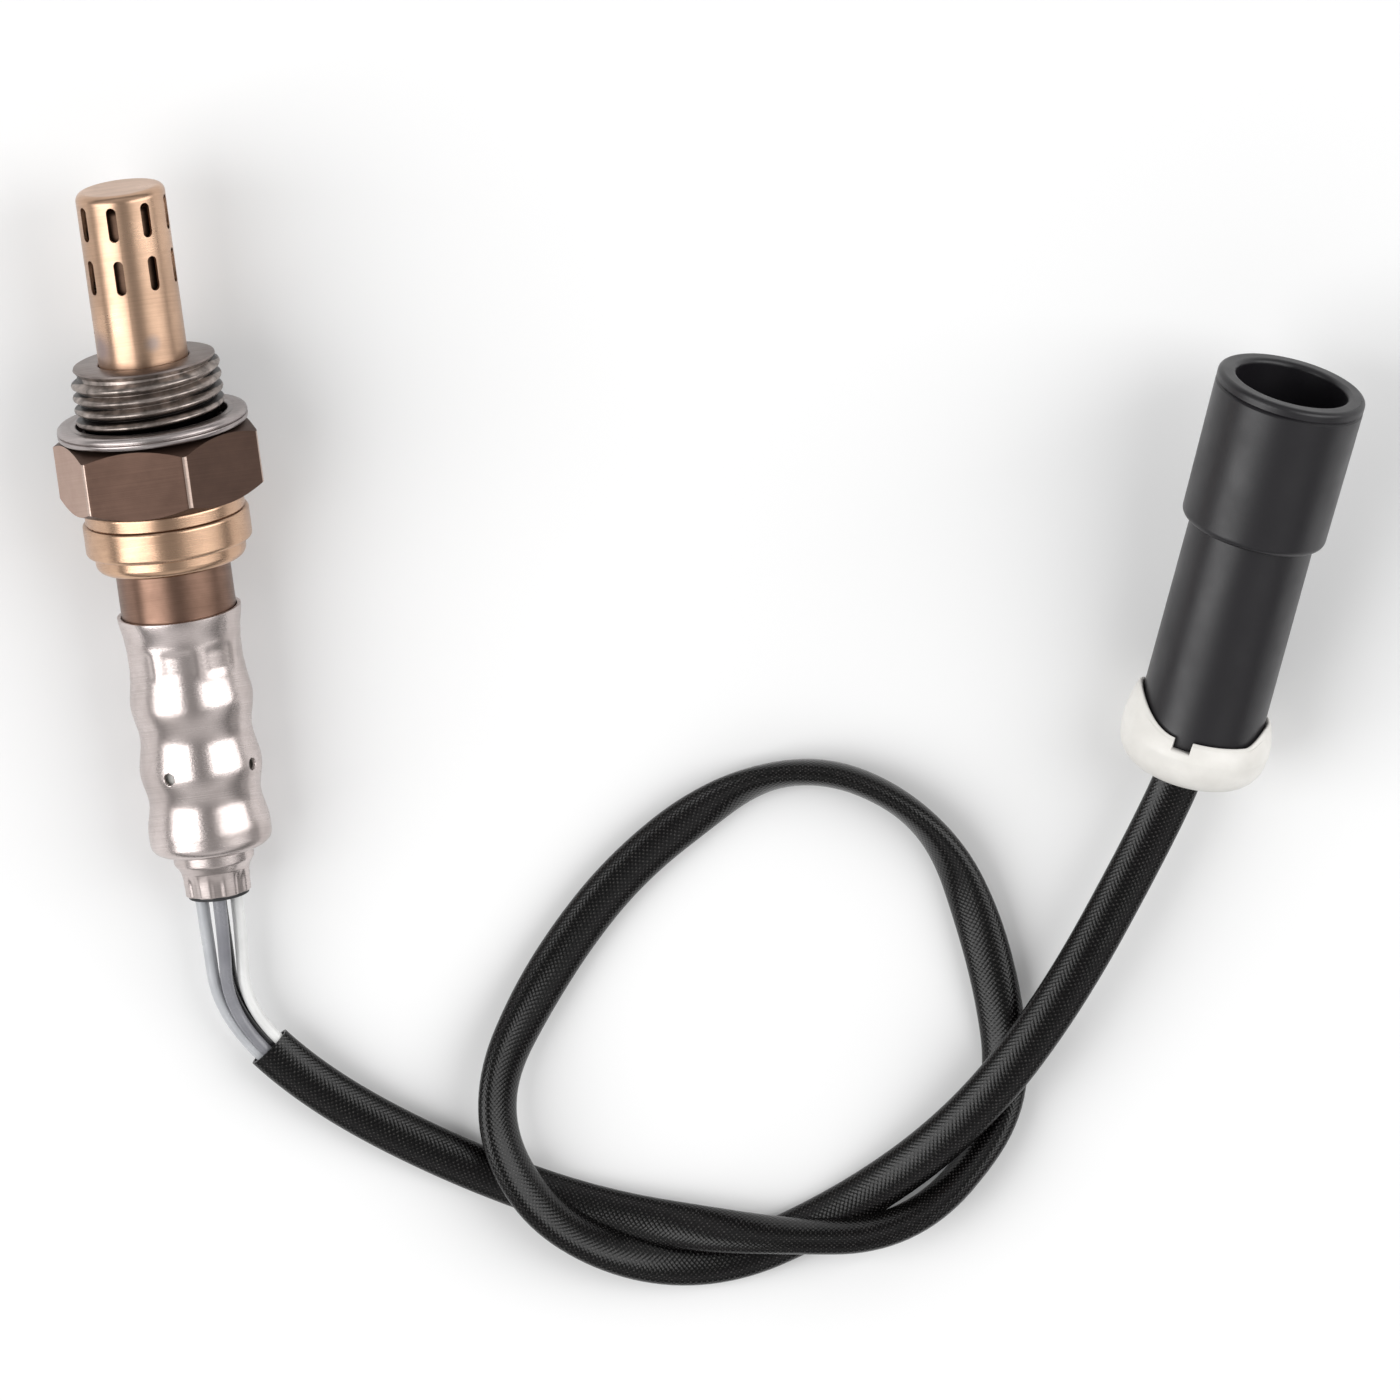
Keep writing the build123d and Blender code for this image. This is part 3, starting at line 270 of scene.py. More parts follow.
# === Mesh helpers ==========================================================================
def finish_mesh(name, mesh, material, sharp):
    """Object from a mesh: doubles merged, faces outward, smooth but for sharp edges."""
    work = bmesh.new()
    work.from_mesh(mesh)
    bmesh.ops.remove_doubles(work, verts=work.verts, dist=1e-7)
    bmesh.ops.recalc_face_normals(work, faces=work.faces)
    work.to_mesh(mesh)
    work.free()
    mesh.polygons.foreach_set("use_smooth", [True] * len(mesh.polygons))
    mesh.set_sharp_from_angle(angle=radians(sharp))
    mesh.materials.clear()
    mesh.materials.append(material)
    piece = bpy.data.objects.new(name, mesh)
    bpy.context.scene.collection.objects.link(piece)
    return piece


def skin(name, rings, material, closed=False, sharp=40.0):
    """Mesh over rings of points, each closed on itself; closed joins the last ring to the first."""
    around = len(rings[0])
    following = list(zip(range(len(rings)), range(1, len(rings))))
    if closed:
        following.append((len(rings) - 1, 0))
    faces = []
    for low, high in following:
        for side in range(around):
            after = (side + 1) % around
            near, far = low * around, high * around
            faces.append((near + side, near + after, far + after, far + side))
    mesh = bpy.data.meshes.new(name)
    mesh.from_pydata([tuple(point) for ring in rings for point in ring], [], faces)
    return finish_mesh(name, mesh, material, sharp)


def rounded(corners, steps=5):
    """Closed outline of (station, radius) corners; a third number rounds that corner."""
    points = []
    for index, corner in enumerate(corners):
        here = Vector(corner[:2])
        if len(corner) == 2:
            points.append(here)
            continue
        before = (Vector(corners[index - 1][:2]) - here).normalized()
        after = (Vector(corners[(index + 1) % len(corners)][:2]) - here).normalized()
        reach = corner[2] / tan(before.angle(after) / 2)
        for step in range(steps + 1):
            share = step / steps
            start = here + before * reach * (1 - share)
            end = here + after * reach * share
            points.append(start.lerp(end, share))
    return points


def quarter(steps):
    """Angles of a quarter turn in radians, both ends among them."""
    return [radians(90 * step / steps) for step in range(steps + 1)]


def lathe(name, place, outline, material, sides, sharp, start=0.0):
    """Turned piece. An outline's entry is (station, radius), or a function of the turn that gives it."""
    turns = [start + 360 * side / sides for side in range(sides)]
    rings = []
    for spot in outline:
        spots = [spot(turn) if callable(spot) else spot for turn in turns]
        rings.append([place.point(station, radius, turn) for (station, radius), turn in zip(spots, turns)])
    return skin(name, rings, material, closed=True, sharp=sharp)


def smooth(value, low, high):
    """0 below low, 1 above high, and a smooth step between."""
    share = min(1.0, max(0.0, (value - low) / (high - low)))
    return share * share * (3 - 2 * share)


def eased(table, value):
    """Value of a table of (place, value) pairs, with a smooth step from each to the next."""
    for (low, first), (high, second) in zip(table, table[1:]):
        if value <= high:
            return first + (second - first) * smooth(value, low, high)
    return table[-1][1]


def drill(place, station, turn, outline, reach, material):
    """Straight cutter out from the axis, between two radii; outline is (along, sideways) offsets."""
    centre = place.point(station)
    out = (place.point(station, 1, turn) - centre) / MM
    axis, side = place.axis, place.axis.cross(out)
    rings = []
    for radius in reach:
        foot = out * radius
        rings.append([centre + (foot + axis * along + side * across) * MM for along, across in outline])
    near, far = [[centre + out * radius * MM] * len(outline) for radius in reach]
    return skin("drill", [near, *rings, far], material)


def cut(piece, cutters):
    """Take the cutters out of a piece for good."""
    for cutter in cutters:
        modifier = piece.modifiers.new("cut", "BOOLEAN")
        modifier.operation = "DIFFERENCE"
        modifier.solver = "EXACT"
        modifier.object = cutter
    graph = bpy.context.evaluated_depsgraph_get()
    mesh = bpy.data.meshes.new_from_object(piece.evaluated_get(graph))
    piece.modifiers.clear()
    piece.data = mesh
    for cutter in cutters:
        bpy.data.objects.remove(cutter)


def put(piece, *nodes, slot):
    """Let a finished piece ride on the part and stand for the named nodes."""
    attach(piece, BODY)
    if nodes:
        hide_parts(*nodes)
    return piece


# === Node helpers ==========================================================================
def add_node(tree, kind, inputs=(), **settings):
    """New node in a tree; an input is given a value, or another node's output to follow."""
    made = tree.nodes.new(kind)
    for key, value in settings.items():
        setattr(made, key, value)
    for socket, value in dict(inputs).items():
        if isinstance(value, bpy.types.NodeSocket):
            tree.links.new(value, made.inputs[socket])
        else:
            made.inputs[socket].default_value = value
    return made


def fill_ramp(ramp, stops):
    """Give a colour ramp its (position, colour) stops."""
    elements = ramp.color_ramp.elements
    for position, _ in stops[2:]:
        elements.new(position)
    for element, (position, colour) in zip(elements, stops):
        element.position = position
        element.color = (*colour, 1)


# === Materials =============================================================================
class Shader:
    """Short way to build a Principled material out of nodes."""

    def __init__(self, name):
        self.material = bpy.data.materials.new(name)
        self.material.use_nodes = True
        self.tree = self.material.node_tree
        self.main = self.tree.nodes["Principled BSDF"]
        self.node = partial(add_node, self.tree)
        self.coordinates = self.node("ShaderNodeTexCoord")
        self.position = self.coordinates.outputs["Object"]

    def local(self, place, scale):
        """Object coordinates turned to a place: x right, y up, z along its axis, each scaled."""
        matrix = Matrix((place.right, place.up, place.axis)).transposed()
        angles = matrix.to_euler()
        moved = self.node(
            "ShaderNodeMapping",
            {"Vector": self.position, "Location": place.origin, "Rotation": angles},
            vector_type="TEXTURE",
        )
        scaled = self.node("ShaderNodeMapping", {"Vector": moved.outputs[0], "Scale": scale})
        return scaled.outputs[0]

    def noise(self, vector, scale, detail=3.0, roughness=0.5):
        inputs = {"Vector": vector, "Scale": scale, "Detail": detail, "Roughness": roughness}
        return self.node("ShaderNodeTexNoise", inputs).outputs["Fac"]

    def ramp(self, factor, stops):
        """Colour ramp through (position, colour) stops."""
        ramp = self.node("ShaderNodeValToRGB", {"Fac": factor})
        fill_ramp(ramp, stops)
        return ramp.outputs["Color"]

    def spread(self, factor, low, high, start=0.3, end=0.7):
        inputs = {"Value": factor, "From Min": start, "From Max": end, "To Min": low, "To Max": high}
        return self.node("ShaderNodeMapRange", inputs).outputs["Result"]

    def maths(self, operation, first, second=0.0):
        return self.node("ShaderNodeMath", {0: first, 1: second}, operation=operation).outputs[0]

    def blend(self, first, second, share):
        """A share of the first value and the rest of the second."""
        part = self.maths("MULTIPLY", first, share)
        return self.maths("ADD", part, self.maths("MULTIPLY", second, 1 - share))

    def bump(self, height, depth):
        """Height from 0 to 1 over depth metres, added to the shader's normal."""
        inputs = {"Height": height, "Distance": depth}
        if self.main.inputs["Normal"].links:
            inputs["Normal"] = self.main.inputs["Normal"].links[0].from_socket
        self.link(self.node("ShaderNodeBump", inputs).outputs[0], "Normal")

    def radius(self, place):
        """Distance from a place's axis in mm."""
        flat = self.local(place, (FINE, FINE, 0))
        return self.node("ShaderNodeVectorMath", {0: flat}, operation="LENGTH").outputs["Value"]

    def stain(self, spot, size, colour, strength):
        """Mix a colour into the base colour round a point, fading out at size; both in metres."""
        inputs = {0: self.position, 1: spot}
        offset = self.node("ShaderNodeVectorMath", inputs, operation="DISTANCE").outputs["Value"]
        near = self.spread(offset, strength, 0.0, size * 0.3, size)
        base = self.main.inputs["Base Color"].links[0].from_socket
        mixed = self.node("ShaderNodeMix", {0: near, 6: base, 7: (*colour, 1)}, data_type="RGBA")
        self.link(mixed.outputs[2], "Base Color")

    def link(self, output, socket):
        self.tree.links.new(output, self.main.inputs[socket])

    def set(self, **values):
        for socket, value in values.items():
            self.main.inputs[socket.replace("_", " ")].default_value = value


def metal(name, place, dark, light, rough, leather=0.0, stains=()):
    """Turned metal: fine lines round the axis, faint clouds of colour and uneven polish.

    Leather is the depth in metres of a fine even grain; stains are arguments of Shader.stain.
    """
    shader = Shader(name)
    lines = shader.noise(shader.local(place, LATHE_LINES), 1.0, 4.0, 0.7)
    clouds = shader.noise(shader.position, 0.12 * FINE, 5.0, 0.6)
    mixed = shader.blend(lines, clouds, 0.35)
    shader.link(shader.ramp(mixed, [(0.35, dark), (0.65, light)]), "Base Color")
    shader.link(shader.spread(mixed, rough + 0.07, rough - 0.05), "Roughness")
    shader.bump(lines, TURNED_GRAIN)
    if leather:
        shader.bump(shader.noise(shader.position, 3.5 * FINE, 2.0), leather)
    for stain in stains:
        shader.stain(*stain)
    shader.set(Metallic=1.0)
    return shader.material


def thread_painted_shade():
    """Thread steel coloured by the distance from the axis: painted shade in the dark valleys, and bright
    crests that are part wear, part painted highlight.
    """
    shader = Shader("thread_steel")
    root, crest = THREAD_ROOT_DIAMETER / 2, THREAD_CREST_DIAMETER / 2
    # Painted shade and highlight: darker towards the thread's root, brighter towards its crest.
    height = shader.spread(shader.radius(sensor), 0.0, 0.8, root, crest)
    clouds = shader.noise(shader.position, 0.8 * FINE, 4.0)
    painted_shade_and_clouds = shader.maths("ADD", height, shader.maths("MULTIPLY", clouds, 0.25))
    stops = [(0.35, (0.006, 0.005, 0.005)), (0.84, (0.05, 0.043, 0.040)), (1.0, (0.50, 0.43, 0.39))]
    shader.link(shader.ramp(painted_shade_and_clouds, stops), "Base Color")
    shader.link(shader.spread(clouds, 0.42, 0.28), "Roughness")
    shader.set(Metallic=1.0)
    return shader.material


def moulded(name, dark, light, rough, depth=0.00001, **values):
    """Moulded rubber, plastic or ceramic: faint mottling and a fine satin grain, depth metres deep."""
    shader = Shader(name)
    clouds = shader.noise(shader.position, 0.25 * FINE, 4.0)
    grain = shader.noise(shader.position, 6 * FINE, 3.0)
    shader.link(shader.ramp(clouds, [(0.3, dark), (0.7, light)]), "Base Color")
    shader.link(shader.spread(clouds, rough + 0.05, rough - 0.05), "Roughness")
    shader.bump(grain, depth)
    shader.set(**values)
    return shader.material


hexagon_steel = metal("hexagon_steel", sensor, (0.085, 0.052, 0.040), (0.125, 0.076, 0.058), 0.46)
# Painted reflection: a paler copy of the hexagon's metal for the flat that faces the floor.
hexagon_painted_reflection = metal("hexagon_painted_reflection", sensor, (0.44, 0.30, 0.24), (0.54, 0.38, 0.31), 0.46)
# Corners: partly worn bare metal, partly a painted highlight along each edge.
hexagon_edge = metal("hexagon_edge", sensor, (0.42, 0.32, 0.27), (0.66, 0.52, 0.45), 0.35)
nose_steel = metal("nose_steel", sensor, (0.17, 0.14, 0.13), (0.34, 0.29, 0.27), 0.34)
thread_steel = thread_painted_shade()
gasket_steel = metal("gasket_steel", sensor, (0.30, 0.265, 0.26), (0.52, 0.47, 0.455), 0.30)
# Two grey marks near the foot of the outer tube: a small weld and a patch of heat tint.
weld_mark = (sensor.point(11.6, 5.4, 16), 1.3 * MM, (0.30, 0.24, 0.22), 0.8)
heat_tint = (sensor.point(11.2, 5.4, -62), 2.6 * MM, (0.24, 0.20, 0.22), 0.7)
marks = (weld_mark, heat_tint)
tube_bronze = metal("tube_bronze", sensor, (0.42, 0.275, 0.19), (0.64, 0.425, 0.295), 0.29, stains=marks)
# Painted shade: the inner tube, seen through the vents, gets a darker copy of the tube's bronze.
inner_bronze_painted_shade = metal("inner_bronze_painted_shade", sensor, (0.11, 0.066, 0.046), (0.20, 0.125, 0.088), 0.5)
gold_steel = metal("gold_steel", sensor, (0.44, 0.28, 0.19), (0.70, 0.46, 0.31), 0.26)
copper_steel = metal("copper_steel", sensor, (0.14, 0.083, 0.06), (0.28, 0.17, 0.125), 0.33)
sleeve_steel = metal("sleeve_steel", sensor, (0.46, 0.40, 0.38), (0.72, 0.64, 0.62), 0.27, leather=0.000012)
contact_metal = metal("contact_metal", plug, (0.45, 0.42, 0.36), (0.68, 0.65, 0.58), 0.3)
white_ceramic = moulded("white_ceramic", (0.62, 0.60, 0.56), (0.76, 0.74, 0.70), 0.5)
powder = moulded("powder", (0.42, 0.40, 0.36), (0.60, 0.58, 0.53), 0.9, depth=0.00004)
filter_fleece = moulded("filter_fleece", (0.60, 0.59, 0.56), (0.74, 0.73, 0.70), 0.9, depth=0.00003)
black_rubber = moulded("black_rubber", (0.008, 0.008, 0.009), (0.018, 0.018, 0.02), 0.6)
connector_black = moulded("connector_black", (0.006, 0.005, 0.007), (0.010, 0.009, 0.011), 0.38)
cap_white = moulded("cap_white", (0.72, 0.70, 0.66), (0.82, 0.80, 0.76), 0.42)


def woven_material():
    """Braided black yarn: two sets of slanted ribs from the tube's own UV, in yarn counts, with painted
    highlights as pale specks on the crossings and painted shade between the yarns.
    """
    shader = Shader("woven_black")
    split = shader.node("ShaderNodeSeparateXYZ", {0: shader.coordinates.outputs["UV"]})
    across, along = split.outputs[0], split.outputs[1]
    one = shader.maths("FRACT", shader.maths("ADD", across, along))
    other = shader.maths("FRACT", shader.maths("SUBTRACT", across, along))
    ribs = [shader.maths("SINE", shader.maths("MULTIPLY", phase, pi)) for phase in (one, other)]
    over = shader.maths("MULTIPLY", *ribs)
    under = shader.maths("MAXIMUM", *ribs)
    height = shader.blend(over, under, 0.6)
    fuzz = shader.noise(shader.position, 6 * FINE, 2.0)
    painted_glint_and_shade = shader.maths("MULTIPLY", height, fuzz)
    # Painted highlight and shade: pale where the yarns cross and rise, darker where they sink.
    stops = [(0.2, (0.001, 0.001, 0.001)), (0.42, (0.005, 0.0045, 0.0045)), (0.58, (0.05, 0.047, 0.045))]
    shader.link(shader.ramp(painted_glint_and_shade, stops), "Base Color")
    shader.link(shader.spread(fuzz, 0.26, 0.14), "Roughness")
    shader.bump(height, 0.000025)
    shader.set(Specular_IOR_Level=0.3)
    return shader.material


woven_black = woven_material()


# === Connector cap =========================================================================
def cap_spot(share, radius, behind=0.0):
    """Function of the turn that gives a place between the cap's edge and its rear rounding."""

    def spot(turn):
        level = (turn + 180) % 360 - 180
        edge = eased(CAP_EDGE, level) + behind
        return (edge + (CAP_ROUND_AT - edge) * share, radius)

    return spot


def make_cap():
    """Bowl behind the connector, its edge saddled at both sides, with a notch on top."""
    outline = [(CAP_FLOOR_AT, CAP_BORE_RADIUS)]
    outline += [cap_spot(0, CAP_BORE_RADIUS + out, behind) for out, behind in CAP_EDGE_INSIDE]
    outline += [cap_spot(0, CAP_EDGE_RADIUS + out, behind) for out, behind in CAP_EDGE_OUTSIDE]
    for step in range(1, CAP_STEPS):
        share = step / CAP_STEPS
        bulge = (CAP_BULGE_RADIUS - CAP_EDGE_RADIUS) * sin(share * pi * CAP_BULGE_PART)
        outline.append(cap_spot(share, CAP_EDGE_RADIUS + bulge))
    for angle in quarter(CAP_STEPS):
        radius = CAP_RADIUS - CAP_ROUND + CAP_ROUND * cos(angle)
        outline.append((CAP_ROUND_AT + CAP_ROUND * sin(angle), radius))
    outline += [(CAP_REAR_AT, CAP_HOLE_RADIUS), (CAP_FLOOR_AT, CAP_HOLE_RADIUS)]
    cap = lathe("saddle_cap", plug, outline, cap_white, sides=240, sharp=50)
    half = CAP_NOTCH_WIDTH / 2
    front, back = -CAP_NOTCH_RUNOUT, CAP_NOTCH_DEPTH
    corners = [(front, -half), (back, -half), (back, half), (front, half)]
    edge = eased(CAP_EDGE, CAP_NOTCH_TURN)
    cut(cap, [drill(plug, edge, CAP_NOTCH_TURN, corners, CAP_NOTCH_REACH, cap_white)])
    return cap


put(make_cap(), "connector_cap", slot="cap_white")


# === Lead: route, sleeving and wires =======================================================
# The route's points are near those of the lead's solids. They lie as low as the flat sleeving
# does on the surface and over the crossings, and higher where it stands on edge round the loop.
# The last point is the bend before the connector.
LEAD_ROUTE = (
    (-0.5, -58.1, 5.2),
    (8.8, -69.2, 3.4),
    (23.7, -80.0, 1.9),
    (40.1, -88.6, 1.9),
    (58.3, -93.4, 5.3),
    (76.9, -95.8, 5.3),
    (90.8, -83.0, 2.2),
    (90.9, -63.6, 2.4),
    (86.0, -45.5, 3.0),
    (70.0, -36.4, 3.1),
    (51.2, -44.9, 2.8),
    (37.6, -58.0, 2.6),
    (27.5, -73.5, 5.5),
    (33.4, -89.5, 5.4),
    (51.0, -97.5, 1.9),
    (69.3, -92.2, 1.9),
    (85.1, -83.0, 5.8),
    (98.0, -70.0, 7.5),
    (111.2, -51.9, 7.2),
)
SLEEVING_TWIST = (                # share of the sleeving's length, degrees from flat
    (0.0, 0.0),
    (0.14, 0.0),
    (0.21, 60.0),
    (0.27, 62.0),
    (0.31, 20.0),
    (0.35, 12.0),
    (0.43, 85.0),
    (0.45, 85.0),
    (0.51, 20.0),
    (0.57, 15.0),
    (0.63, 46.0),
    (0.68, 42.0),
    (0.73, 10.0),
    (1.0, 0.0),
)
WIRE_COLOURS = {                  # material, dark and light colour
    "heater_wire_left": ("wire_light_grey", (0.42, 0.43, 0.45), (0.50, 0.51, 0.53)),
    "ground_wire": ("wire_grey", (0.18, 0.18, 0.20), (0.24, 0.24, 0.26)),
    "signal_wire": ("wire_black", (0.010, 0.010, 0.011), (0.02, 0.02, 0.022)),
    "heater_wire_right": ("wire_white", (0.70, 0.70, 0.69), (0.80, 0.80, 0.79)),
}
WIRE_PLACES = {                   # at the grommet and the pins, then inside the flat sleeving
    "heater_wire_left": ((-1, 0), (-1.5, -0.3)),
    "ground_wire": ((0, 1), (-0.5, 0.35)),
    "signal_wire": ((0, -1), (0.5, -0.35)),
    "heater_wire_right": ((1, 0), (1.5, 0.3)),
}


def spline_points(name, route):
    """Points of the smooth NURBS line that a route's control points pull on."""
    data = bpy.data.curves.new(name, "CURVE")
    data.dimensions = "3D"
    data.resolution_u = LINE_STEPS
    spline = data.splines.new("NURBS")
    spline.points.add(len(route) - 1)
    for point, place in zip(spline.points, route):
        point.co = (*place, 1)
    spline.order_u = 3
    spline.use_endpoint_u = True
    curve = bpy.data.objects.new(name, data)
    mesh = bpy.data.meshes.new_from_object(curve)
    points = [vertex.co.copy() for vertex in mesh.vertices]
    bpy.data.objects.remove(curve)
    bpy.data.meshes.remove(mesh)
    return points


def lengths_along(points):
    """Distance of each point from the first, along the line."""
    total = [0.0]
    for before, after in zip(points, points[1:]):
        total.append(total[-1] + (after - before).length)
    return total


route = [sensor.point(WIRE_START_AT), sensor.point(WIRE_BEND_AT)]
route += [Vector(point) * MM for point in LEAD_ROUTE]
route += [plug.point(SLEEVING_END_AT), plug.point(WIRE_END_AT)]
line = spline_points("lead_line", route)
travelled = lengths_along(line)


def nearest(target):
    """Index of the line's point that lies nearest to a target."""
    return min(range(len(line)), key=lambda index: (line[index] - target).length)


mouth_index = nearest(route[2].lerp(route[3], MOUTH_SHARE))
end_index = nearest(plug.point(SLEEVING_END_AT))
grommet_index = nearest(sensor.point(GROMMET_REAR_AT))
spread_index = nearest(plug.point(PLUG_SPREAD_AT))


def directions(index):
    """Unit vectors at a point of the line: along it, level to its right, and up across it."""
    along = (line[min(index + 1, len(line) - 1)] - line[max(index - 1, 0)]).normalized()
    right = along.cross(Vector((0, 0, 1))).normalized()
    return along, right, right.cross(along)


def sleeving_turn(index):
    """The flat sleeving's turn about its line at a point, in degrees."""
    whole = travelled[end_index] - travelled[mouth_index]
    return eased(SLEEVING_TWIST, (travelled[index] - travelled[mouth_index]) / whole)


def crosswise(index, across, lift, turn):
    """Point beside the line, across and lift in mm, turned about the line."""
    _, right, up = directions(index)
    angle = radians(turn)
    wide = right * cos(angle) + up * sin(angle)
    high = up * cos(angle) - right * sin(angle)
    return line[index] + (wide * across + high * lift) * MM


# --- sleeving ---
def fuller(value):
    """Sine or cosine of an angle, for an oval fuller than an ellipse."""
    return abs(value) ** SLEEVING_FULLNESS * (1 if value > 0 else -1)


def oval(index, wall):
    """One ring of the sleeving: an oval flattened on its wide sides."""
    ring = []
    for side in range(SLEEVING_SIDES):
        angle = 2 * pi * (side + 0.5) / SLEEVING_SIDES
        across = (SLEEVING_WIDTH / 2 - wall) * fuller(cos(angle))
        lift = (SLEEVING_HEIGHT / 2 - wall) * fuller(sin(angle))
        ring.append(crosswise(index, across, lift, sleeving_turn(index)))
    return ring


def make_sleeving():
    """Hollow woven tube with square-cut ends; its UV counts yarns round and along."""
    span = range(mouth_index, end_index + 1)
    outer = [oval(index, 0) for index in span]
    inner = [oval(index, SLEEVING_WALL) for index in reversed(span)]
    piece = skin("woven_sleeving", outer + inner, woven_black, closed=True, sharp=60)
    layer = piece.data.uv_layers.new(name="yarns")
    last_row = len(outer + inner) - 1
    for polygon in piece.data.polygons:
        sides = [vertex % SLEEVING_SIDES for vertex in polygon.vertices]
        over_seam = max(sides) - min(sides) > 1
        for corner, vertex, side in zip(polygon.loop_indices, polygon.vertices, sides):
            row = vertex // SLEEVING_SIDES
            row = min(row, last_row - row)
            if side == 0 and over_seam:
                side = SLEEVING_SIDES
            distance = (travelled[mouth_index + row] - travelled[mouth_index]) / MM
            layer.data[corner].uv = (side / SLEEVING_SIDES * SLEEVING_YARNS, distance / SLEEVING_YARN_PITCH)
    return piece


sleeving = put(make_sleeving(), "sleeving", slot="woven_black")
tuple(line[mouth_index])


# --- wires ---
def packed(index):
    """How far the wires are packed flat at a point: 0 in the grommet and at the pins, 1 inside."""
    gather = smooth(travelled[index], travelled[grommet_index], travelled[mouth_index])
    spread = smooth(travelled[index], travelled[end_index], travelled[spread_index])
    return gather * (1 - spread)


def wire_place(index, name):
    """A wire's place across the line, and the turn of the row that it lies in."""
    (side, lift), (across, height) = WIRE_PLACES[name]
    share = packed(index)
    wide = GROMMET_PITCH_RADIUS if index < end_index else PLUG_PITCH_RADIUS
    level = side * wide * (1 - share) + across * share
    return -level, lift * wide * (1 - share) + height * share, sleeving_turn(index) * share


def make_wire(name):
    """Insulated wire: a round tube along the lead's line from its contact to its pin."""
    material_name, dark, light = WIRE_COLOURS[name]
    material = moulded(material_name, dark, light, 0.3, depth=0.000004, Coat_Weight=0.2)
    path = [crosswise(index, *wire_place(index, name)) for index in range(len(line))]
    rings = []
    for index, point in enumerate(path):
        _, right, up = directions(index)
        radius = WIRE_DIAMETER / 2 - WIRE_SQUEEZE * packed(index)
        ring = []
        for side in range(WIRE_SIDES):
            angle = 2 * pi * side / WIRE_SIDES
            ring.append(point + (right * cos(angle) + up * sin(angle)) * radius * MM)
        rings.append(ring)
    rings = [[path[0]] * WIRE_SIDES] + rings + [[path[-1]] * WIRE_SIDES]
    piece = skin(name + "_insulation", rings, material, sharp=50)
    put(piece, name, slot=material_name)
    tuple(path[grommet_index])
    lengths_along(path)[-1]


for wire_name in WIRE_PLACES:
    make_wire(wire_name)


# === Shell: hexagon, nose, collar and thread ===============================================
def hex_radius(turn):
    """Radius of the hexagon at a turn, with its corners just broken."""
    off_flat = (turn - HEX_TURN) % 60 - 30
    apothem = HEX_ACROSS_FLATS / 2
    corner = apothem / cos(radians(30))
    return min(apothem / cos(radians(off_flat)), corner - HEX_EDGE_FLAT)


def hex_front(turn):
    """Front end of the hexagon's flanks at a turn: the chamfer's outer edge."""
    radius = hex_radius(turn)
    return (-(radius - HEX_ACROSS_FLATS / 2) * HEX_CHAMFER_SLOPE - HEX_CHAMFER_START, radius)


def hex_rear(turn):
    """Rear end of the flanks, with the same chamfer."""
    station, radius = hex_front(turn)
    return (-HEX_LENGTH - station, radius)


SHELL_METALS = (hexagon_steel, nose_steel, thread_steel, hexagon_edge, hexagon_painted_reflection)


def shell_metal(polygon):
    """Metal of a face of the shell, told by where it lies."""
    station, _, turn = sensor.measure(polygon.center)
    beside_corner = abs((turn - HEX_TURN + 30) % 60 - 30)
    flank = -HEX_LENGTH < station < 0 and abs(polygon.normal.dot(sensor.axis)) < 0.3
    if station > NOSE_AT - NOSE_SKIN:
        return nose_steel
    if station > 0.01:
        return thread_steel
    if flank and beside_corner < HEX_WEAR_AND_GLINT:
        return hexagon_edge
    # painted reflection of the floor on one flat
    if flank and abs(turn - HEX_REFLECTING_FLAT_TURN) < 30:
        return hexagon_painted_reflection
    return hexagon_steel


def make_shell():
    """Nose, core of the thread, chamfered hexagon and the collar behind it, bored hollow."""
    root = THREAD_ROOT_DIAMETER / 2
    nose = NOSE_DIAMETER / 2
    bore = NOSE_BORE / 2
    flat = HEX_ACROSS_FLATS / 2
    collar = SHELL_REAR_DIAMETER / 2
    rear = -HEX_LENGTH - SHELL_REAR_LENGTH
    front = [
        (NOSE_AT - NOSE_BORE_DEPTH, bore),
        (NOSE_AT - NOSE_BORE_BEVEL, bore),
        (NOSE_AT, bore + NOSE_BORE_BEVEL),
        (NOSE_AT, nose - NOSE_BEVEL),
        (NOSE_AT - 0.1, nose - 0.08),
        (NOSE_AT - NOSE_BEVEL, nose),
        (NOSE_AT - 0.8, root),
        (THREAD_REAR_AT, root),
        (THREAD_REAR_AT - 0.5, root - THREAD_GROOVE),
        (0.1, root - THREAD_GROOVE),
        (0, root - 0.05),
        (0, flat - 0.5),
        (-0.02, flat - 0.25),
    ]
    back = [
        (-HEX_LENGTH + 0.02, flat - 0.25),
        (-HEX_LENGTH, flat - 0.5),
        (-HEX_LENGTH, collar),
        (rear, collar),
        (rear, collar - SHELL_REAR_WALL),
        (-HEX_LENGTH / 2, collar - SHELL_INNER_WALL),
    ]
    outline = front + [hex_front, hex_rear] + back
    shell = lathe("hexagon_shell", sensor, outline, hexagon_steel, sides=288, start=HEX_TURN, sharp=30)
    for extra in SHELL_METALS[1:]:
        shell.data.materials.append(extra)
    for polygon in shell.data.polygons:
        polygon.material_index = SHELL_METALS.index(shell_metal(polygon))
    return shell


put(make_shell(), "sensor_shell", slot="hexagon_steel")


def node_tree(name, sizes):
    """Geometry Nodes tree with named size inputs, and the function that adds nodes to it."""
    tree = bpy.data.node_groups.new(name, "GeometryNodeTree")
    tree.interface.new_socket("Geometry", in_out="OUTPUT", socket_type="NodeSocketGeometry")
    for size in sizes:
        kind = "NodeSocketInt" if isinstance(sizes[size], int) else "NodeSocketFloat"
        tree.interface.new_socket(size, in_out="INPUT", socket_type=kind)
    return tree, partial(add_node, tree)


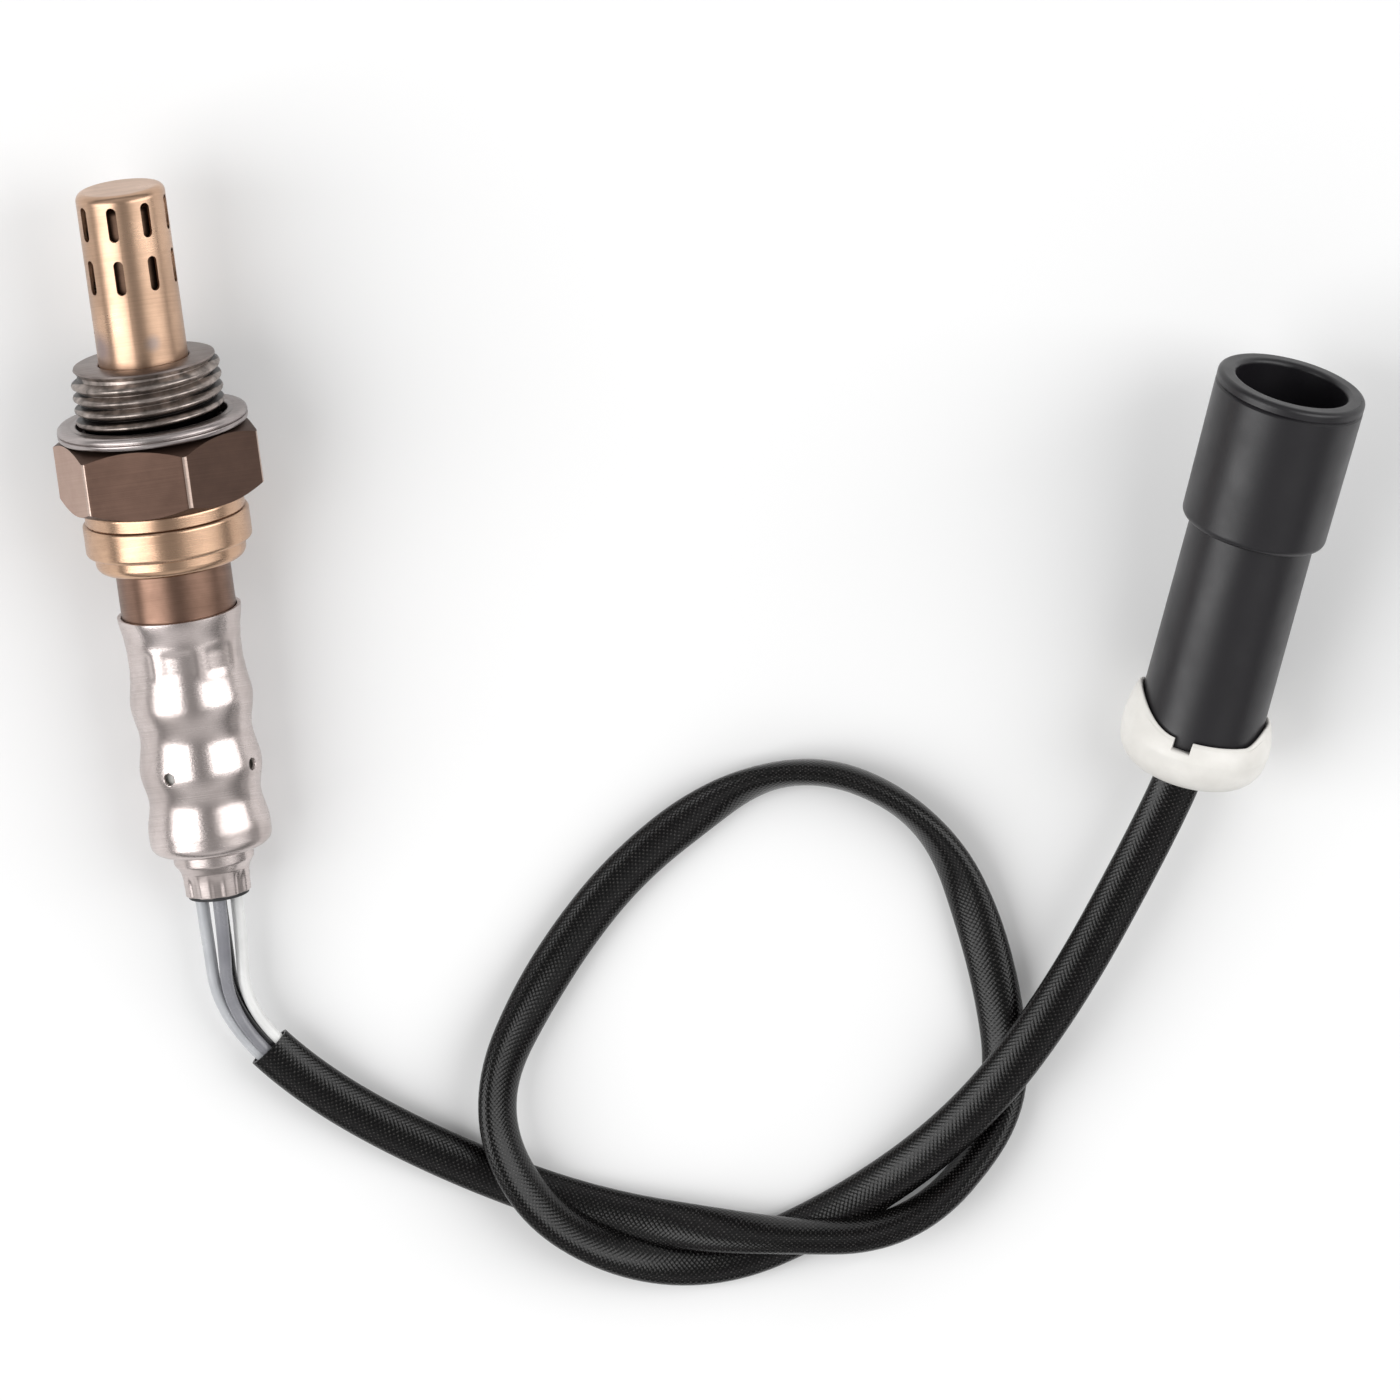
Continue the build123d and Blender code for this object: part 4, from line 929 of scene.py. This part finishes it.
def baked(name, tree, sizes, material, sharp):
    """Plain mesh object of what a tree makes with the given sizes."""
    carrier = bpy.data.objects.new(name + "_carrier", bpy.data.meshes.new(name + "_carrier"))
    bpy.context.scene.collection.objects.link(carrier)
    modifier = carrier.modifiers.new("nodes", "NODES")
    modifier.node_group = tree
    for item in tree.interface.items_tree:
        if item.in_out == "INPUT" and item.name in sizes:
            modifier[item.identifier] = sizes[item.name]
    graph = bpy.context.evaluated_depsgraph_get()
    mesh = bpy.data.meshes.new_from_object(carrier.evaluated_get(graph))
    carrier.modifiers.remove(modifier)
    bpy.data.objects.remove(carrier)
    return finish_mesh(name, mesh, material, sharp)


THREAD_SIZES = {
    "Turns": (THREAD_FRONT_AT - THREAD_REAR_AT) / THREAD_PITCH,
    "Length": (THREAD_FRONT_AT - THREAD_REAR_AT) * MM,
    "Root radius": THREAD_ROOT_DIAMETER / 2 * MM,
    "Ridge": (THREAD_CREST_DIAMETER - THREAD_ROOT_DIAMETER) / 2 * MM,
    "Half width": THREAD_PITCH * THREAD_RIDGE_SHARE * MM,
    "Crest half width": THREAD_PITCH * THREAD_CREST_SHARE * MM,
    "Steps": THREAD_STEPS,
}


def thread_tree(material):
    """Right-hand screw thread: a grid bent round the axis and raised to a ridge along its middle."""
    tree, add = node_tree("screw_thread", THREAD_SIZES)
    size = add("NodeGroupInput").outputs

    def maths(operation, first, second=0.0):
        return add("ShaderNodeMath", {0: first, 1: second}, operation=operation).outputs[0]

    steps = maths("MULTIPLY", size["Turns"], size["Steps"])
    grid = add("GeometryNodeMeshGrid", {"Size X": 1.0, "Size Y": 1.0, "Vertices X": steps, "Vertices Y": 9})
    place = add("ShaderNodeSeparateXYZ", {0: add("GeometryNodeInputPosition").outputs[0]})
    share = maths("ADD", place.outputs[0], 0.5)
    across = place.outputs[1]
    width = maths("MULTIPLY", size["Half width"], 2.0)
    # Height of the ridge over its width: two flanks and a short flat crest.
    distance = maths("MULTIPLY", maths("ABSOLUTE", across), width)
    flank = maths("SUBTRACT", size["Half width"], size["Crest half width"])
    rise = maths("DIVIDE", maths("SUBTRACT", size["Half width"], distance), flank)
    level = maths("MINIMUM", rise, 1.0)
    ends = maths("MINIMUM", share, maths("SUBTRACT", 1.0, share))
    fade = maths("MINIMUM", maths("MULTIPLY", ends, THREAD_FADE), 1.0)
    height = maths("MULTIPLY", maths("MULTIPLY", level, fade), size["Ridge"])
    radius = maths("ADD", size["Root radius"], height)
    angle = maths("MULTIPLY", maths("MULTIPLY", share, size["Turns"]), 2 * pi)
    station = maths("ADD", maths("MULTIPLY", share, size["Length"]), maths("MULTIPLY", across, width))
    position = add(
        "ShaderNodeCombineXYZ",
        {
            0: maths("MULTIPLY", radius, maths("COSINE", angle)),
            1: maths("MULTIPLY", radius, maths("SINE", angle)),
            2: station,
        },
    )
    targets = {"Geometry": grid.outputs["Mesh"], "Position": position.outputs[0]}
    bent = add("GeometryNodeSetPosition", targets)
    real = add("GeometryNodeRealizeInstances", {"Geometry": bent.outputs[0]})
    dressed = add("GeometryNodeSetMaterial", {"Geometry": real.outputs[0], "Material": material})
    add("NodeGroupOutput", {"Geometry": dressed.outputs[0]})
    return tree


def make_thread():
    """The ridge of the screw thread, laid on the shell's core."""
    piece = baked("shell_thread", thread_tree(thread_steel), THREAD_SIZES, thread_steel, sharp=50)
    turned = Matrix((sensor.right, sensor.axis.cross(sensor.right), sensor.axis)).transposed().to_4x4()
    turned.translation = sensor.point(THREAD_REAR_AT)
    piece.data.transform(turned)
    return piece


put(make_thread(), slot="hexagon_steel")


# === Gasket ================================================================================
def make_gasket():
    """Folded ring: a rolled rim on each side of a seam, and a dished inner face."""
    front = GASKET_REAR_AT + GASKET_THICKNESS
    mid = GASKET_REAR_AT + GASKET_THICKNESS / 2
    rim = GASKET_DIAMETER / 2
    bore = GASKET_BORE / 2
    outline = rounded(
        [
            (front, bore, 0.2),
            (front - GASKET_DISH, bore + 0.7, 0.2),
            (front, bore + 1.1, 0.2),
            (front, rim, 0.65),
            (mid + GASKET_SEAM_HALF, rim, 0.1),
            (mid, rim - GASKET_SEAM_DEPTH, 0.08),
            (mid - GASKET_SEAM_HALF, rim, 0.1),
            (GASKET_REAR_AT, rim, 0.5),
            (GASKET_REAR_AT, bore, 0.3),
        ],
        3,
    )
    return lathe("folded_gasket", sensor, outline, gasket_steel, sides=160, sharp=55)


put(make_gasket(), "gasket", slot="gasket_steel")


# === Outer sleeve ==========================================================================
def sleeve_radius(station):
    """Radius of the wavy sleeve: a smooth wave between its crests and waists."""
    return eased([(-place, diameter / 2) for place, diameter in SLEEVE_PROFILE], -station)


def crimp(station, turn):
    """Depth of the square crimps at a place on the sleeve."""
    spacing = 360 / CRIMP_COUNT
    off = abs((turn - CRIMP_TURN + spacing / 2) % spacing - spacing / 2)
    across = radians(off) * CRIMP_RADIUS
    along = abs(station - CRIMP_AT)
    wide = 1 - smooth(across, CRIMP_WIDTH / 2 - CRIMP_EDGE, CRIMP_WIDTH / 2)
    long = 1 - smooth(along, CRIMP_LENGTH / 2 - CRIMP_EDGE, CRIMP_LENGTH / 2)
    return CRIMP_DEPTH * wide * long


def sleeve_spot(station, inset):
    """Function of the turn that gives the sleeve's wall at a station."""
    return lambda turn: (station, sleeve_radius(station) - crimp(station, turn) - inset)


def make_sleeve():
    """Thin wavy sleeve, drawn in at its rear end to the ferrule, with its vents drilled."""
    end_start = SLEEVE_REAR_AT + SLEEVE_END_RADIUS
    span = SLEEVE_FRONT_AT - end_start
    count = ceil(span / SLEEVE_STEP)
    stations = [SLEEVE_FRONT_AT - SLEEVE_BEVEL / 2 - span * step / count for step in range(count)]
    outer = [sleeve_spot(station, 0) for station in stations]
    end_radius = SLEEVE_PROFILE[-1][1] / 2 - SLEEVE_END_RADIUS
    for angle in quarter(SLEEVE_END_STEPS):
        station = end_start - SLEEVE_END_RADIUS * sin(angle)
        outer.append((station, end_radius + SLEEVE_END_RADIUS * cos(angle)))
    hole = FERRULE_SHOULDER_DIAMETER / 2 + SLEEVE_END_GAP
    inner = [
        (SLEEVE_REAR_AT, hole + 2 * SLEEVE_BEVEL),
        (SLEEVE_REAR_AT + SLEEVE_BEVEL, hole),
        (SLEEVE_REAR_AT + SLEEVE_WALL, hole),
    ]
    inner += [sleeve_spot(station, SLEEVE_WALL) for station in reversed(stations)]
    mouth = SLEEVE_PROFILE[0][1] / 2
    rim = [(SLEEVE_FRONT_AT, mouth - SLEEVE_WALL + SLEEVE_BEVEL), (SLEEVE_FRONT_AT, mouth - SLEEVE_BEVEL)]
    sleeve = lathe("crimped_sleeve", sensor, outer + inner + rim, sleeve_steel, sides=256, sharp=50)
    angles = [2 * pi * step / VENT_SIDES for step in range(VENT_SIDES)]
    vent = [(cos(angle) * VENT_DIAMETER / 2, sin(angle) * VENT_DIAMETER / 2) for angle in angles]
    turns = [VENT_TURN + index * 360 / VENT_COUNT for index in range(VENT_COUNT)]
    cut(sleeve, [drill(sensor, VENT_AT, turn, vent, VENT_REACH, sleeve_steel) for turn in turns])
    return sleeve


put(make_sleeve(), "outer_sleeve", slot="sleeve_steel")


# === Ferrule ===============================================================================
def flute(station, turn):
    """Depth of the crimped flutes near the ferrule's end."""
    spacing = 360 / FERRULE_FLUTES
    off = abs(turn % spacing - spacing / 2) / (spacing / 2)
    behind_step = FERRULE_STEP_AT - station
    depth = FERRULE_FLUTE_DEPTH * smooth(off, *FERRULE_FLUTE_EDGE)
    return depth * smooth(behind_step, *FERRULE_FLUTE_START)


def ferrule_spot(station, radius):
    """Function of the turn that sinks the flutes into a ring of the ferrule."""
    return lambda turn: (station, radius - flute(station, turn))


def make_ferrule():
    """Stepped ferrule; three plain rings behind the step give the flutes room to begin."""
    shoulder = FERRULE_SHOULDER_DIAMETER / 2
    narrow = FERRULE_DIAMETER / 2
    outer = rounded(
        [
            (FERRULE_FRONT_AT, shoulder - FERRULE_WALL),
            (FERRULE_FRONT_AT, shoulder),
            (FERRULE_STEP_AT + 0.7, shoulder, 0.6),
            (FERRULE_STEP_AT - 0.3, narrow + 0.1, 0.5),
            (FERRULE_STEP_AT - 1.2, narrow),
            (FERRULE_STEP_AT - 1.8, narrow),
            (FERRULE_STEP_AT - 2.4, narrow - 0.05),
            (FERRULE_REAR_AT, narrow - 0.05, 0.15),
            (FERRULE_REAR_AT, narrow - FERRULE_WALL),
            (FERRULE_STEP_AT - 0.2, narrow - FERRULE_WALL),
            (FERRULE_STEP_AT + 0.7, shoulder - FERRULE_WALL),
        ],
        5,
    )
    outline = [ferrule_spot(station, radius) for station, radius in outer]
    return lathe("crimped_ferrule", sensor, outline, sleeve_steel, sides=192, sharp=45)


put(make_ferrule(), "ferrule", slot="sleeve_steel")


# === CAD pieces that keep their shape ======================================================
def dress(material, *names):
    """Give a material to the nodes that keep their own shape."""
    for name in names:
        solid = frame["nodes"][name].data
        solid.materials.clear()
        solid.materials.append(material)


dress(tube_bronze, "protection_tube")
dress(inner_bronze_painted_shade, "inner_tube")
dress(gold_steel, "neck_ring", "clamp_band")
dress(copper_steel, "casing_tube")
dress(white_ceramic, "sensing_element", "heater_rod", "packing_bush", "contact_holder")
dress(gasket_steel, "seat_washer", "lock_ring")
dress(powder, "powder_seal")
dress(filter_fleece, "vent_filter")
dress(black_rubber, "grommet", "connector_seal")
dress(connector_black, "connector_shell", "pin_holder")
dress(contact_metal, "holder_spring")
dress(contact_metal, "heater_contact_left", "heater_contact_right", "ground_contact", "signal_contact")
dress(contact_metal, "heater_pin_left", "heater_pin_right", "ground_pin", "signal_pin")


# === Floor and light =======================================================================
def make_floor():
    """Pale ground that shows nothing but the part's shadow."""
    shader = Shader("pale_floor")
    clouds = shader.noise(shader.position, 3.0)
    dark, light = [(shade,) * 3 for shade in FLOOR_SHADES]
    shader.link(shader.ramp(clouds, [(0.3, dark), (0.7, light)]), "Base Color")
    shader.set(Roughness=0.9, Specular_IOR_Level=0.0)
    low, high = -FLOOR_HALF, FLOOR_HALF
    mesh = bpy.data.meshes.new("floor")
    mesh.from_pydata([(low, low, 0), (high, low, 0), (high, high, 0), (low, high, 0)], [], [(0, 1, 2, 3)])
    mesh.materials.append(shader.material)
    floor_object = bpy.data.objects.new("floor", mesh)
    bpy.context.scene.collection.objects.link(floor_object)


def make_lamp(name, position, size, power):
    """Rectangular lamp turned to the middle of the part."""
    data = bpy.data.lights.new(name, "AREA")
    data.shape = "RECTANGLE"
    data.size, data.size_y = size
    data.energy = power
    lamp = bpy.data.objects.new(name, data)
    bpy.context.scene.collection.objects.link(lamp)
    direction = Vector(LAMP_AIM) - Vector(position)
    lamp.rotation_euler = direction.to_track_quat("-Z", "Y").to_euler()
    lamp.location = position


def make_world():
    """Grey sky, dim at the horizon and overhead: dark bands between a shiny piece's highlights."""
    world = bpy.data.worlds.new("studio")
    bpy.context.scene.world = world
    world.use_nodes = True
    tree = world.node_tree
    direction = add_node(tree, "ShaderNodeTexCoord")
    split = add_node(tree, "ShaderNodeSeparateXYZ", {0: direction.outputs["Generated"]})
    ramp = add_node(tree, "ShaderNodeValToRGB", {"Fac": split.outputs["Z"]})
    fill_ramp(ramp, [(height, (level,) * 3) for height, level in SKY])
    tree.links.new(ramp.outputs["Color"], tree.nodes["Background"].inputs["Color"])


make_floor()
make_world()
for lamp_name, lamp_values in LAMPS.items():
    make_lamp(lamp_name, *lamp_values)

bpy.context.scene.view_settings.view_transform = "Standard"
